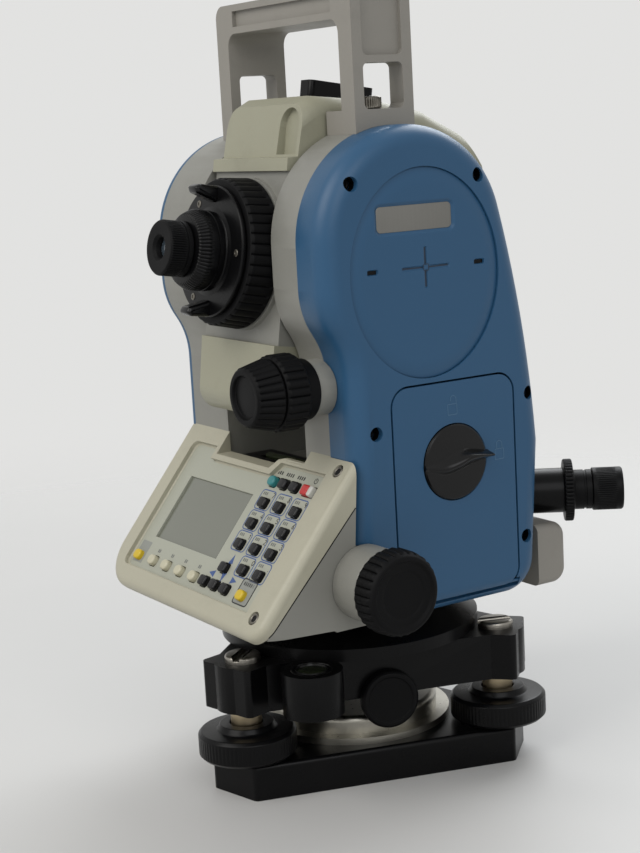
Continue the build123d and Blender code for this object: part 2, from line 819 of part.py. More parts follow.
# Lugs inside the right cover, one at each end of the battery door's hinge
with BuildPart() as hinge_lugs:
    for side in (1, -1):
        lug_y = door_y + side * (door_opening_half + seam + door_lug_w / 2)
        with Locations((door_pin_x, lug_y, door_pin_z)):
            Box(2 * door_swing_r, door_lug_w, 2 * door_swing_r)
    add(right_blank, mode=Mode.INTERSECT)

with BuildPart() as right_cover:
    add(hollow_cover(cover_x, cover_w, cover_edge_r, cover_wall, screw_hole_depth))
    add(hinge_lugs.part)
    with BuildSketch(Plane.YZ.offset(cover_x)):
        add(knob_bracket())
    extrude(amount=cover_w, mode=Mode.SUBTRACT)
    stack(plummet_axis, [(plummet_root, plummet_end, plummet_r + seam)], Mode.SUBTRACT)
    with BuildSketch(Plane.YZ.offset(cover_x)):
        with Locations((door_y, door_z)):
            RectangleRounded(door_w + 2 * door_gap, door_h + 2 * door_gap, door_corner_r + door_gap)
    extrude(amount=cover_w, mode=Mode.SUBTRACT)
    hinge = Location((door_pin_x, door_y, door_pin_z), (-90, 0, 0))
    stack(hinge, [(-door_opening_half, door_opening_half, door_swing_r)], Mode.SUBTRACT)
    pin_room = door_pin_half + turn_gap
    stack(hinge, [(-pin_room, pin_room, door_pin_r + running_fit)], Mode.SUBTRACT)
right_cover.part.label = "right_cover"
export_step(right_cover.part, "parts/right_cover.step")

# Oval plates, one on each cover, each with a shallow blank seat for a label
with BuildPart() as oval_covers:
    for x in (outer_x - oval_h, -left_outer_x):
        with BuildSketch(Plane.YZ.offset(x)):
            add(oval_outline())
        extrude(amount=oval_h)
    for x in (outer_x - label_depth, -left_outer_x):
        with BuildSketch(Plane.YZ.offset(x)):
            with Locations((label_y, trunnion_z + label_rise)):
                RectangleRounded(label_w, label_h, label_h / 5)
        extrude(amount=label_depth, mode=Mode.SUBTRACT)
oval_covers.part.label = "oval_covers"
export_step(oval_covers.part, "parts/oval_covers.step")

# Battery door, its hinge pins and the seat of its twist knob
knob_place = Location((outer_x, door_knob_y, door_knob_z), (0, 90, 0))
with BuildPart() as battery_door:
    add(right_blank)
    with BuildSketch(Plane.YZ.offset(outer_x - door_t)):
        with Locations((door_y, door_z)):
            RectangleRounded(door_w, door_h, door_corner_r)
    extrude(amount=door_t, mode=Mode.INTERSECT)
    stack(knob_place, [(-door_knob_seat, 0, door_knob_r + turn_gap)], Mode.SUBTRACT)
    stack(knob_place, [(-door_t, 0, door_spindle_r + running_fit)], Mode.SUBTRACT)
    stack(hinge, [(-door_pin_half, door_pin_half, door_pin_r)])
battery_door.part.label = "battery_door"
export_step(battery_door.part, "parts/battery_door.step")

# Twist knob of the battery door, its grip pointing to the rear, with the latch bar inside
with BuildPart() as battery_knob:
    seat_face = turn_gap - door_knob_seat
    stack(knob_place, [(seat_face, door_knob_proud, door_knob_r)])
    stack(knob_place, [(-door_t - turn_gap, seat_face, door_spindle_r)])
    with BuildSketch(Plane.YZ.offset(outer_x + door_knob_proud)):
        with Locations((door_knob_y, door_knob_z)):
            SlotOverall(door_grip_l, door_grip_w)
    extrude(amount=door_grip_h)
    fillet(battery_knob.faces().sort_by(Axis.X)[-1].edges(), door_grip_h / 3)
    with Locations((outer_x - door_t - turn_gap - door_cam_t / 2, door_knob_y, door_knob_z)):
        Box(door_cam_t, door_cam_l, door_cam_w)
battery_knob.part.label = "battery_knob"
export_step(battery_knob.part, "parts/battery_knob.step")

# Battery pack behind the door, seated on the floor of the standard's pocket
battery_x = standard_inner_x + standard_wall
with BuildPart() as battery_pack:
    with BuildSketch(Plane.YZ.offset(battery_x)):
        with Locations((door_y, door_z - pocket_rim)):
            RectangleRounded(battery_w, battery_h, pocket_rim)
    extrude(amount=battery_t)
battery_pack.part.label = "battery_pack"
export_step(battery_pack.part, "parts/battery_pack.step")

# Keyboard housing
single_keys = {
    "key_mode": (20.3, top_row_v),
    "key_menu": (29.2, top_row_v),
    "key_light": (38.2, top_row_v),
    "key_power": (49.0, top_row_v),
    "key_enter": (44.2, bottom_row_v),
    "key_escape": (-51.2, bottom_row_v),
    "key_up": (21.0, bottom_row_v + 8.6),
    "key_left": (11.8, bottom_row_v),
    "key_down": (21.0, bottom_row_v),
    "key_right": (30.2, bottom_row_v),
}
for index in range(4):
    single_keys[f"key_soft_{index + 1}"] = (soft_u + index * soft_pitch, bottom_row_v)
number_keys_uv = [
    (number_u + column * number_pitch_u, number_v - row * number_pitch_v)
    for row in range(4)
    for column in range(3)
    if (row, column) != (3, 0)
]
all_keys_uv = list(single_keys.values()) + number_keys_uv


def plate_outline(grow=0.0):
    """Face plate outline on the key face, with its upper edge stepped round the notch."""
    left, right = plate_left - grow, plate_right + grow
    low, high = plate_bottom - grow, plate_top + grow
    deep = notch_deep - plate_margin + grow
    with BuildSketch() as outline:
        with BuildLine():
            Polyline(
                (left, low),
                (right, low),
                (right, high),
                (notch_step + notch_slant + plate_margin, high),
                (notch_step + plate_margin, deep),
                (notch_left - plate_margin, deep),
                (notch_left - plate_margin, high),
                (left, high),
                close=True,
            )
        make_face()
        fillet(outline.vertices().group_by(Axis.X)[0], plate_corner_r)
    return outline.sketch


lcd_mid = (lcd_left + lcd_w / 2, lcd_h / 2)
rim = face.offset(rim_h)
seam_line_foot = Vector(0, seam_foot.X, seam_foot.Y)
panel_top = (waist_y - rim.origin.Y) / sin(lean)  # where the rim surface meets the standards


def rim_point(v, depth=0.0):
    """Y and Z of a point on the rim surface or some depth under it, v up the face."""
    point = rim.from_local_coords(Vector(0, v, -depth))
    return Vector(point.Y, point.Z)


with BuildPart() as control_panel:
    # Sloping housing, its lower corners rounded in the plane of the face
    with BuildSketch(Plane.YZ.offset(-left_outer_x)):
        low, high = rim_point(panel_bottom - seam), rim_point(panel_top)
        low_back = rim_point(panel_bottom - seam, -rim.to_local_coords(seam_line_foot).Z)
        with BuildLine():
            Polyline(
                (low.X, low.Y),
                (high.X, high.Y),
                (seam_head.X, seam_head.Y),
                (seam_foot.X, seam_foot.Y),
                (low_back.X, low_back.Y),
                close=True,
            )
        make_face()
    extrude(amount=panel_w)
    extrude(panel_corners(), amount=-15 * box_depth, mode=Mode.INTERSECT)
    rim_face = control_panel.faces().sort_by_distance(rim.origin)[0]
    fillet(rim_face.edges().sort_by(Axis.Z)[:-1], panel_edge_r)
    # Box behind the seam
    with BuildSketch(seam_plane):
        with Locations((0, seam_length / 2)):
            Rectangle(2 * box_half_w, seam_length - 2 * box_wall)
    extrude(amount=-box_depth)
    # Recess of the face plate and the display, key holes
    with BuildSketch(face.offset(-plate_t)):
        add(plate_outline(seam))
    extrude(amount=plate_t + 2 * rim_h, mode=Mode.SUBTRACT)
    with BuildSketch(face.offset(-plate_t - lcd_t)):
        with Locations(lcd_mid):
            Rectangle(lcd_w + 2 * seam, lcd_h + 2 * seam)
    extrude(amount=lcd_t, mode=Mode.SUBTRACT)
    hole_depth = key_root + key_travel + turn_gap
    with BuildSketch(face.offset(-hole_depth)):
        with Locations(*all_keys_uv):
            RectangleRounded(key_w + 2 * key_gap, key_h + 2 * key_gap, key_corner_r + key_gap)
        with Locations(single_keys["key_power"]):
            Rectangle(power_w + 2 * key_gap, key_h + 2 * key_gap)
    extrude(amount=hole_depth, mode=Mode.SUBTRACT)
    # Notch that clears the telescope
    deep_z, shallow_z = rim_point(notch_deep).Y, rim_point(notch_shallow).Y
    with BuildSketch(Plane.XZ.offset(-waist_y - 1)):
        with BuildLine():
            Polyline(
                (notch_left, deep_z),
                (notch_step, deep_z),
                (notch_step + notch_slant, shallow_z),
                (notch_right, shallow_z),
                (notch_right, handle_top),
                (notch_left, handle_top),
                close=True,
            )
        make_face()
    extrude(amount=-face_y, mode=Mode.SUBTRACT)
    # Room for the covers' flares, and the screw holes
    for x, width in ((cover_x, cover_w), (-left_outer_x, left_cover_w)):
        with BuildSketch(Plane.YZ.offset(x)):
            add(cover_outline(seam))
        extrude(amount=width, mode=Mode.SUBTRACT)
    for v in panel_screw_vs:
        hole = face.location * Location((panel_screw_u, v, 0))
        stack(hole, [(0, 2 * rim_h, screw_hole_r)], Mode.SUBTRACT)
control_panel.part.label = "control_panel"
export_step(control_panel.part, "parts/control_panel.step")

# Face plate with the key holes and the display opening
with BuildPart() as face_plate:
    with BuildSketch(face.offset(-plate_t)):
        add(plate_outline())
        with Locations(*all_keys_uv):
            RectangleRounded(
                key_w + 2 * key_gap, key_h + 2 * key_gap, key_corner_r + key_gap, mode=Mode.SUBTRACT
            )
        with Locations(single_keys["key_power"]):
            Rectangle(power_w + 2 * key_gap, key_h + 2 * key_gap, mode=Mode.SUBTRACT)
        with Locations(lcd_mid):
            Rectangle(lcd_w - 2 * lcd_lip, lcd_h - 2 * lcd_lip, mode=Mode.SUBTRACT)
    extrude(amount=plate_t)
face_plate.part.label = "face_plate"
export_step(face_plate.part, "parts/face_plate.step")

# Display behind the face plate
with BuildPart() as lcd_window:
    with BuildSketch(face.offset(-plate_t - lcd_t)):
        with Locations(lcd_mid):
            Rectangle(lcd_w, lcd_h)
    extrude(amount=lcd_t)
lcd_window.part.label = "lcd_window"
export_step(lcd_window.part, "parts/lcd_window.step")

# Single keys, each pressed straight into the face
for node, uv in single_keys.items():
    width = power_w if node == "key_power" else key_w
    with BuildPart() as key:
        with BuildSketch(face.offset(-key_root)):
            with Locations(uv):
                RectangleRounded(width, key_h, key_corner_r)
        extrude(amount=key_root + key_stand)
        fillet(key.faces().sort_by(Axis((0, 0, 0), face.z_dir))[-1].edges(), key_edge_r)
    key.part.label = node
    export_step(key.part, f"parts/{node}.step")

# Eleven number keys, kept together on their pads
with BuildPart() as number_keys:
    with BuildSketch(face.offset(-key_root)):
        with Locations(*number_keys_uv):
            RectangleRounded(key_w, key_h, key_corner_r)
    extrude(amount=key_root + key_stand)
    fillet(number_keys.faces().group_by(Axis((0, 0, 0), face.z_dir))[-1].edges(), key_edge_r)
number_keys.part.label = "number_keys"
export_step(number_keys.part, "parts/number_keys.step")

# Screws of the covers and of the keyboard housing
with BuildPart() as case_screws:
    for x, turn in ((outer_x - screw_hole_depth, 90), (left_screw_depth - left_outer_x, -90)):
        for y, z in screw_places:
            stack(Location((x, y, z), (0, turn, 0)), [(0, screw_head_h, screw_head_r)])
    for v in panel_screw_vs:
        stack(face.location * Location((panel_screw_u, v, 0)), [(0, screw_head_h, screw_head_r)])
case_screws.part.label = "case_screws"
export_step(case_screws.part, "parts/case_screws.step")

# Rear housing behind the standards, below the plummet
with BuildPart() as rear_housing:
    rear_foot_z = alidade_z - rear_foot_drop
    rear_run = rear_end_y - rear_start_y
    with BuildSketch(Plane.YZ.offset(-rear_half_w)) as rear_profile:
        with Locations((rear_start_y, rear_foot_z)):
            Rectangle(rear_run, rear_rise + rear_foot_drop, align=(Align.MIN, Align.MIN))
        fillet(rear_profile.vertices().group_by(Axis.X)[-1], rear_corner)
    extrude(amount=2 * rear_half_w)
    ends = rear_housing.faces().sort_by(Axis.X)
    fillet(ends[0].edges().sort_by(Axis.Y)[1:] + ends[-1].edges().sort_by(Axis.Y)[1:], rear_corner / 2)
    # Neck to the frame, and the foot under it
    for half_w, front_y, low_z, high_z in (
        (rear_neck_half_w, block_rear_y, alidade_z + pocket_rim, alidade_z + rear_rise - rear_corner),
        (cover_x - seam, rear_foot_y0, rear_foot_z + seam, alidade_z),
    ):
        with Locations((0, front_y, low_z)):
            Box(
                2 * half_w,
                rear_start_y + rear_run / 3 - front_y,
                high_z - low_z,
                align=(Align.CENTER, Align.MIN, Align.MIN),
            )
rear_housing.part.label = "rear_housing"
export_step(rear_housing.part, "parts/rear_housing.step")

# Carrying handle: a bar on two windowed legs, seated on the crowns
handle_mid_y = handle_front_y + handle_depth / 2
with BuildPart() as carry_handle:
    with BuildSketch(Plane.XZ.offset(-handle_front_y)) as handle_front:
        with BuildLine():
            outer, inner = handle_half_w, handle_half_w - handle_leg_w
            foot_z = handle_foot_top - handle_foot_sink
            Polyline(
                (outer, foot_z),
                (outer, handle_top),
                (-outer, handle_top),
                (-outer, foot_z),
                (-standard_inner_x, foot_z),
                (-standard_inner_x, handle_foot_top),
                (-inner, handle_foot_top),
                (-inner, handle_top - handle_bar_h),
                (inner, handle_top - handle_bar_h),
                (inner, handle_foot_top),
                (standard_inner_x, handle_foot_top),
                (standard_inner_x, foot_z),
                close=True,
            )
        make_face()
        fillet(handle_front.vertices().group_by(Axis.Y)[-1], handle_corner_r)
        for x in (inner, -inner):
            under_bar = (x, handle_top - handle_bar_h)
            fillet(handle_front.vertices().sort_by_distance(under_bar)[0], handle_corner_r)
    extrude(amount=-handle_depth)
    # Crown seat
    with BuildSketch(Plane.YZ.offset(-handle_half_w)):
        add(standard_outline())
    extrude(amount=2 * handle_half_w, mode=Mode.SUBTRACT)
    # Windows through the legs and shallow panels above them, on the outside and the inside
    window_w = handle_depth - 2 * handle_post
    panel_low = handle_foot_top + handle_window_h + handle_sill
    panel_h = handle_top - handle_sill - panel_low
    for x in (inner, -outer):
        with BuildSketch(Plane.YZ.offset(x)):
            with Locations((handle_mid_y, handle_foot_top + handle_window_h / 2)):
                RectangleRounded(window_w, handle_window_h, handle_window_r)
        extrude(amount=handle_leg_w, mode=Mode.SUBTRACT)
    for x in (outer - handle_recess, -outer):
        with BuildSketch(Plane.YZ.offset(x)):
            with Locations((handle_mid_y, panel_low + panel_h / 2)):
                RectangleRounded(window_w, panel_h, handle_window_r)
        extrude(amount=handle_recess, mode=Mode.SUBTRACT)
    # Hollows along the bar, front and back
    for y in (handle_front_y, handle_front_y + handle_depth - handle_recess):
        with Locations((0, y, handle_top - handle_bar_h / 2)):
            Box(
                2 * inner - 2 * handle_post,
                handle_recess,
                handle_bar_h - 2 * handle_sill,
                align=(Align.CENTER, Align.MIN, Align.CENTER),
                mode=Mode.SUBTRACT,
            )
    for x in (handle_screw_x, -handle_screw_x):
        stack(
            Location((x, handle_mid_y, 0)),
            [(foot_z, handle_foot_top, handle_shank_r + running_fit)],
            Mode.SUBTRACT,
        )
carry_handle.part.label = "carry_handle"
export_step(carry_handle.part, "parts/carry_handle.step")

# Knurled screws that hold the handle
for node, x in (("handle_screw_right", handle_screw_x), ("handle_screw_left", -handle_screw_x)):
    place = Location((x, handle_mid_y, handle_foot_top))
    with BuildPart() as handle_screw:
        stack(place, [(0, handle_screw_h, handle_screw_r)])
        grooves(place, 0, handle_screw_h, handle_screw_r + groove_r / 2, knob_grooves // 2, groove_r / 2)
        stack(place, [(-handle_shank_l, 0, handle_shank_r)])
    handle_screw.part.label = node
    export_step(handle_screw.part, f"parts/{node}.step")

# Plate level on the deck, its vial sunk in a slot
with BuildPart() as plate_level:
    with Locations((0, level_case_front, deck_z)):
        Box(
            2 * level_case_half_w,
            level_case_depth,
            level_case_h,
            align=(Align.CENTER, Align.MIN, Align.MIN),
        )
    with Locations((0, level_case_front + level_case_depth / 2, deck_z + level_case_h)):
        Box(2 * level_tube_half_l, 2 * level_tube_r, level_case_h, mode=Mode.SUBTRACT)
plate_level.part.label = "plate_level"
export_step(plate_level.part, "parts/plate_level.step")

# Optical plummet: fixed tube with its spigot, focus ring and eyepiece
with BuildPart() as plummet_tube:
    stack(plummet_axis, [(plummet_root, plummet_tube_end, plummet_r)])
    stack(plummet_axis, [(plummet_tube_end, plummet_spigot_end, plummet_spigot_r)])
    stack(plummet_axis, [(plummet_root, plummet_spigot_end, plummet_eye_hole_r)], Mode.SUBTRACT)
plummet_tube.part.label = "plummet_tube"
export_step(plummet_tube.part, "parts/plummet_tube.step")

with BuildPart() as plummet_focus_ring:
    start = plummet_tube_end + turn_gap
    stack(plummet_axis, [(start, start + plummet_flange_w, plummet_flange_r)])
    flange_end = start + plummet_flange_w
    grooves(plummet_axis, start, flange_end, plummet_flange_r + groove_r / 2, knob_grooves, groove_r)
    stack(plummet_axis, [(start, plummet_barrel_end, plummet_barrel_r)])
    stack(plummet_axis, [(start, plummet_barrel_end, plummet_spigot_r + running_fit)], Mode.SUBTRACT)
plummet_focus_ring.part.label = "plummet_focus_ring"
export_step(plummet_focus_ring.part, "parts/plummet_focus_ring.step")

with BuildPart() as plummet_eyepiece:
    start = plummet_barrel_end + turn_gap
    stack(plummet_axis, [(start, plummet_end, plummet_eye_r)])
    spigot_room = plummet_spigot_r + running_fit
    stack(plummet_axis, [(start, plummet_spigot_end + turn_gap, spigot_room)], Mode.SUBTRACT)
    stack(plummet_axis, [(start, plummet_end, plummet_eye_hole_r)], Mode.SUBTRACT)
plummet_eyepiece.part.label = "plummet_eyepiece"
export_step(plummet_eyepiece.part, "parts/plummet_eyepiece.step")


def rings(place, hub_start, hub_length, radius, plain_w=0.0):
    """Ribbed clamp ring on a hub, running freely on it, behind it a plain collar of some width."""
    start = hub_start + turn_gap
    end = hub_start + hub_length
    if plain_w:
        stack(place, [(start, hub_start + plain_w, collar_r)])
    ribs_start = max(start, hub_start + plain_w)
    stack(place, [(ribs_start, end, radius)])
    grooves(place, ribs_start, end, radius + groove_r / 2, knob_grooves, groove_r)
    stack(place, [(start, end, knob_hub_r + running_fit)], Mode.SUBTRACT)


def tangent(place, hub_start, hub_length, width, radius, front_r):
    """Ribbed tapering knob ahead of the clamp ring, its pin running down the hollow hub."""
    start = hub_start + hub_length + turn_gap
    with Locations(place * Location((0, 0, start))):
        Cone(radius, front_r, width, align=BOTTOM)
    taper = degrees(atan2(radius - front_r, width))
    grooves(place, start, start + width, radius + groove_r / 2, knob_grooves, groove_r, taper)
    stack(place, [(start + width - knob_dish, start + width, front_r - 2 * knob_dish)], Mode.SUBTRACT)
    stack(place, [(hub_start - knob_pin_sink, start, knob_pin_r)])


# Vertical clamp ring and tangent knob, facing the observer
with BuildPart() as vertical_clamp_ring:
    rings(vertical_knob, -vertical_boss_y, ring_w, ring_r, collar_w)
vertical_clamp_ring.part.label = "vertical_clamp_ring"
export_step(vertical_clamp_ring.part, "parts/vertical_clamp_ring.step")

with BuildPart() as vertical_tangent_knob:
    tangent(vertical_knob, -vertical_boss_y, ring_w, tangent_w, tangent_r, tangent_front_r)
vertical_tangent_knob.part.label = "vertical_tangent_knob"
export_step(vertical_tangent_knob.part, "parts/vertical_tangent_knob.step")

# Horizontal clamp ring and tangent knob, on the battery side
with BuildPart() as horizontal_clamp_ring:
    rings(horizontal_knob, horizontal_boss_w, horizontal_ring_w, horizontal_ring_r)
horizontal_clamp_ring.part.label = "horizontal_clamp_ring"
export_step(horizontal_clamp_ring.part, "parts/horizontal_clamp_ring.step")

with BuildPart() as horizontal_tangent_knob:
    tangent(
        horizontal_knob,
        horizontal_boss_w,
        horizontal_ring_w,
        horizontal_tangent_w,
        horizontal_tangent_r,
        horizontal_front_r,
    )
horizontal_tangent_knob.part.label = "horizontal_tangent_knob"
export_step(horizontal_tangent_knob.part, "parts/horizontal_tangent_knob.step")

# Telescope body: block, objective barrel, focus tube, bored along the sight line
with BuildPart() as telescope_body:
    with BuildSketch(Plane(sight_side.location * Location((0, 0, -scope_half_w)))):
        with Locations(((scope_front + scope_rear) / 2, (scope_top + scope_bottom) / 2)):
            Rectangle(scope_rear - scope_front, scope_top - scope_bottom)
    extrude(amount=2 * scope_half_w)
    stack(to_objective, [(scope_rear, objective_end, objective_r)])
    stack(to_eye, [(-scope_front, scope_collar_w - scope_front, scope_collar_r)])
    stack(to_eye, [(-scope_front, ring_front + turn_gap, focus_tube_r)])
    stack(to_objective, [(-ring_front - turn_gap, objective_end, scope_bore_r)], Mode.SUBTRACT)
    lens_seat = objective_end - lens_inset - lens_t
    stack(to_objective, [(lens_seat, objective_end, lens_r)], Mode.SUBTRACT)
    for turn in (90, -90):
        stack(
            sight * Location((0, 0, 0), (0, turn, 0)),
            [(scope_half_w - spigot_in, scope_half_w, spigot_r)],
            Mode.SUBTRACT,
        )
telescope_body.part.label = "telescope_body"
export_step(telescope_body.part, "parts/telescope_body.step")


def upper_outline(grow=0.0):
    """Side view of the telescope's upper cover."""
    with BuildSketch() as side:
        with BuildLine():
            Polyline(
                (cover_front, scope_top),
                (cover_front, scope_top + cover_ledge),
                (cover_front + cover_set_back, scope_top + cover_ledge + 1),
                (cover_front + cover_set_back + 1.5, cover_top_front),
                (-cover_crest_y, cover_crown - 2),
                (0, cover_crown),
                (cover_fall_y, cover_crown - 2),
                (cover_slope_y, cover_slope_top),
                (cover_rear - cover_set_back, cover_rear_top),
                (cover_rear, scope_top),
                close=True,
            )
        make_face()
        if grow:
            offset(amount=grow, kind=Kind.INTERSECTION)
    return side.sketch


def lower_outline(grow=0.0):
    """Side view of the telescope's lower cover."""
    belly = scope_bottom - belly_drop
    with BuildSketch() as side:
        with BuildLine():
            Polyline(
                (cover_front, scope_bottom),
                (cover_front + 1, belly),
                (cover_rear - belly_rear_run - cover_set_back, belly),
                (cover_rear - cover_set_back, belly + belly_rear_drop - 3),
                (cover_rear, scope_bottom),
                close=True,
            )
        make_face()
        fillet(side.vertices().sort_by_distance((cover_front + 1, belly))[0], belly_front_r)
        if grow:
            offset(amount=grow, kind=Kind.INTERSECTION)
    return side.sketch


def scope_plane(x):
    """Plane across the telescope at a distance along the trunnion axis."""
    return Plane(sight_side.location * Location((0, 0, x)))


# Upper and lower covers, hollow over the body
with BuildPart() as telescope_upper_cover:
    with BuildSketch(scope_plane(-scope_half_w)):
        add(upper_outline())
    extrude(amount=2 * scope_half_w)
    sides = telescope_upper_cover.faces().filter_by(Axis.X)
    top_edges = sides.edges().filter_by(
        lambda edge: sight_side.to_local_coords(edge.center()).Y > cover_top_front
    )
    fillet(top_edges, scope_edge_r)
    with BuildSketch(scope_plane(cover_shell - scope_half_w)):
        add(upper_outline(-cover_shell - arch_depth))
        with Locations((0, scope_top)):
            Rectangle(2 * cover_crest_y, 4 * cover_shell + 2 * arch_depth)
    extrude(amount=2 * (scope_half_w - cover_shell), mode=Mode.SUBTRACT)
    # Arched recess in the front
    arch_low = scope_top + cover_ledge + arch_margin - 1
    arch_w = arch_right - arch_left
    with BuildSketch(Plane(to_eye * Location((0, 0, -cover_front)))) as arch:
        arch_mid = (arch_left + arch_right) / 2
        arch_spring = cover_top_front - arch_margin / 2 - arch_w / 2
        with Locations((arch_mid, arch_low)):
            Rectangle(arch_w, arch_spring - arch_low, align=(Align.CENTER, Align.MIN))
        with Locations((arch_mid, arch_spring)):
            Circle(arch_w / 2)
    extrude(amount=-cover_set_back - arch_depth, mode=Mode.SUBTRACT)
telescope_upper_cover.part.label = "telescope_upper_cover"
export_step(telescope_upper_cover.part, "parts/telescope_upper_cover.step")

with BuildPart() as telescope_lower_cover:
    with BuildSketch(scope_plane(-scope_half_w)):
        add(lower_outline())
    extrude(amount=2 * scope_half_w)
    with BuildSketch(scope_plane(cover_shell - scope_half_w)):
        add(lower_outline(-cover_shell))
        with Locations((0, scope_bottom)):
            Rectangle(2 * cover_crest_y, 4 * cover_shell)
    extrude(amount=2 * (scope_half_w - cover_shell), mode=Mode.SUBTRACT)
telescope_lower_cover.part.label = "telescope_lower_cover"
export_step(telescope_lower_cover.part, "parts/telescope_lower_cover.step")

# Stub axles on both sides of the body
axle_end = cover_x - axle_end_gap
with BuildPart() as trunnion_axle:
    for turn in (90, -90):
        stub = sight * Location((0, 0, 0), (0, turn, 0))
        stack(stub, [(scope_half_w - spigot_in, scope_half_w, spigot_r)])
        stack(stub, [(scope_half_w, axle_end, axle_r)])
trunnion_axle.part.label = "trunnion_axle"
export_step(trunnion_axle.part, "parts/trunnion_axle.step")

# Glass vertical circle on the left axle
circle_start = standard_inner_x + standard_wall + vertical_circle_gap
with BuildPart() as vertical_circle:
    left = sight * Location((0, 0, 0), (0, -90, 0))
    stack(left, [(circle_start, circle_start + vertical_circle_t, circle_r)])
    stack(left, [(circle_start, circle_start + vertical_circle_t, axle_r)], Mode.SUBTRACT)
vertical_circle.part.label = "vertical_circle"
export_step(vertical_circle.part, "parts/vertical_circle.step")

# Objective lens in the barrel's mouth
with BuildPart() as objective_lens:
    stack(to_objective, [(lens_seat, lens_seat + lens_t, lens_r)])
objective_lens.part.label = "objective_lens"
export_step(objective_lens.part, "parts/objective_lens.step")

# Collimator sight on the crown of the upper cover
with BuildPart() as sight_collimator:
    with BuildSketch(scope_plane(-sight_w / 2)):
        with Locations((sight_front + sight_length / 2, cover_crown + sight_h)):
            Rectangle(sight_length, 2 * sight_h, align=(Align.CENTER, Align.MAX))
    extrude(amount=sight_w)
    with BuildSketch(scope_plane(-scope_half_w)):
        add(upper_outline())
    extrude(amount=2 * scope_half_w, mode=Mode.SUBTRACT)
    fillet(sight_collimator.edges().filter_by(Axis((0, 0, 0), sight_side.y_dir)), sight_corner_r)
sight_collimator.part.label = "sight_collimator"
export_step(sight_collimator.part, "parts/sight_collimator.step")

# Focus ring round the tube, ahead of the body's collar
with BuildPart() as focus_ring:
    start = scope_collar_w + turn_gap - scope_front
    with Locations(to_eye * Location((0, 0, start))):
        Cone(focus_ring_r, focus_front_r, ring_front - start, align=BOTTOM)
    grooves(to_eye, start, ring_front, focus_ring_r + groove_r / 3, focus_grooves, focus_groove_r)
    stack(to_eye, [(start, ring_front, focus_tube_r + running_fit)], Mode.SUBTRACT)
focus_ring.part.label = "focus_ring"
export_step(focus_ring.part, "parts/focus_ring.step")

# Eyepiece mount: round plate with two tabs and a shouldered barrel
plate_start = ring_front + turn_gap
plate_end = plate_start + mount_plate_t
with BuildPart() as eyepiece_mount:
    stack(to_eye, [(plate_start, plate_end, mount_plate_r)])
    for side in (1, -1):
        with Locations(to_eye * Location((0, side * tab_reach, plate_start))):
            Box(2 * tab_half_w, tab_t, tab_end - plate_start, align=BOTTOM)
    stack(to_eye, [(plate_end, mount_shoulder, mount_barrel_r)])
    with Locations(to_eye * Location((0, 0, mount_shoulder))):
        Cone(mount_barrel_r, mount_tip_r, mount_end - mount_shoulder, align=BOTTOM)
    pin_seat = mount_end - eyepiece_pin_l
    stack(to_eye, [(pin_seat, mount_end, eyepiece_pin_r + running_fit)], Mode.SUBTRACT)
    stack(to_eye, [(plate_start, mount_end, eyepiece_hole_r)], Mode.SUBTRACT)
eyepiece_mount.part.label = "eyepiece_mount"
export_step(eyepiece_mount.part, "parts/eyepiece_mount.step")

# Eyepiece ring
with BuildPart() as eyepiece:
    start = mount_end + turn_gap
    stack(to_eye, [(start, eyepiece_end, eyepiece_r)])
    grooves(to_eye, start, eyepiece_end, eyepiece_r + groove_r / 2, knob_grooves, groove_r / 2)
    stack(to_eye, [(pin_seat + turn_gap, start, eyepiece_pin_r)])
    stack(to_eye, [(pin_seat, eyepiece_end, eyepiece_hole_r)], Mode.SUBTRACT)
eyepiece.part.label = "eyepiece"
export_step(eyepiece.part, "parts/eyepiece.step")
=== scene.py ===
"""Looks of the total station: turned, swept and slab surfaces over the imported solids, sized in mm."""
from collections import namedtuple
from math import cos, pi, radians, sin

import bmesh
import bpy
import numpy as np
from mathutils import Matrix, Vector


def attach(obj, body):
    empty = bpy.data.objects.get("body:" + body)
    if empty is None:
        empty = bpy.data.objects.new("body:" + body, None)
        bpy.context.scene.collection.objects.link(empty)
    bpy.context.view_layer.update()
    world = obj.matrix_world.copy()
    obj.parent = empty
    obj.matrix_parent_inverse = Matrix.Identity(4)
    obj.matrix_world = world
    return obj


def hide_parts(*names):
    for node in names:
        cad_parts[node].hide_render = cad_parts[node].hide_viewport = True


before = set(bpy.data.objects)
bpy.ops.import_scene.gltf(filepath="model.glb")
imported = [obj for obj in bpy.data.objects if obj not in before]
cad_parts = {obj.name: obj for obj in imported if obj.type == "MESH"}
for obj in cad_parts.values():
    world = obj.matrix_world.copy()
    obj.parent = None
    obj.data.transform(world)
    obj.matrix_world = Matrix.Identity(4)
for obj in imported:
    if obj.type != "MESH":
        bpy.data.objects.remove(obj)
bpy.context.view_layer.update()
MM = 0.001
TINY, SAME_POINT = 1e-9, 1e-6  # least length that is divided by, and distance at which two points are one


# Frames of the instrument, as 4 by 4 arrays that take millimetres to millimetres
def shift(x, y, z):
    """Frame moved by x, y, z."""
    m = np.eye(4)
    m[:3, 3] = (x, y, z)
    return m


def turn(axis, degrees):
    """Frame turned about X, Y or Z by the right-hand rule."""
    return np.array(Matrix.Rotation(radians(degrees), 4, axis))


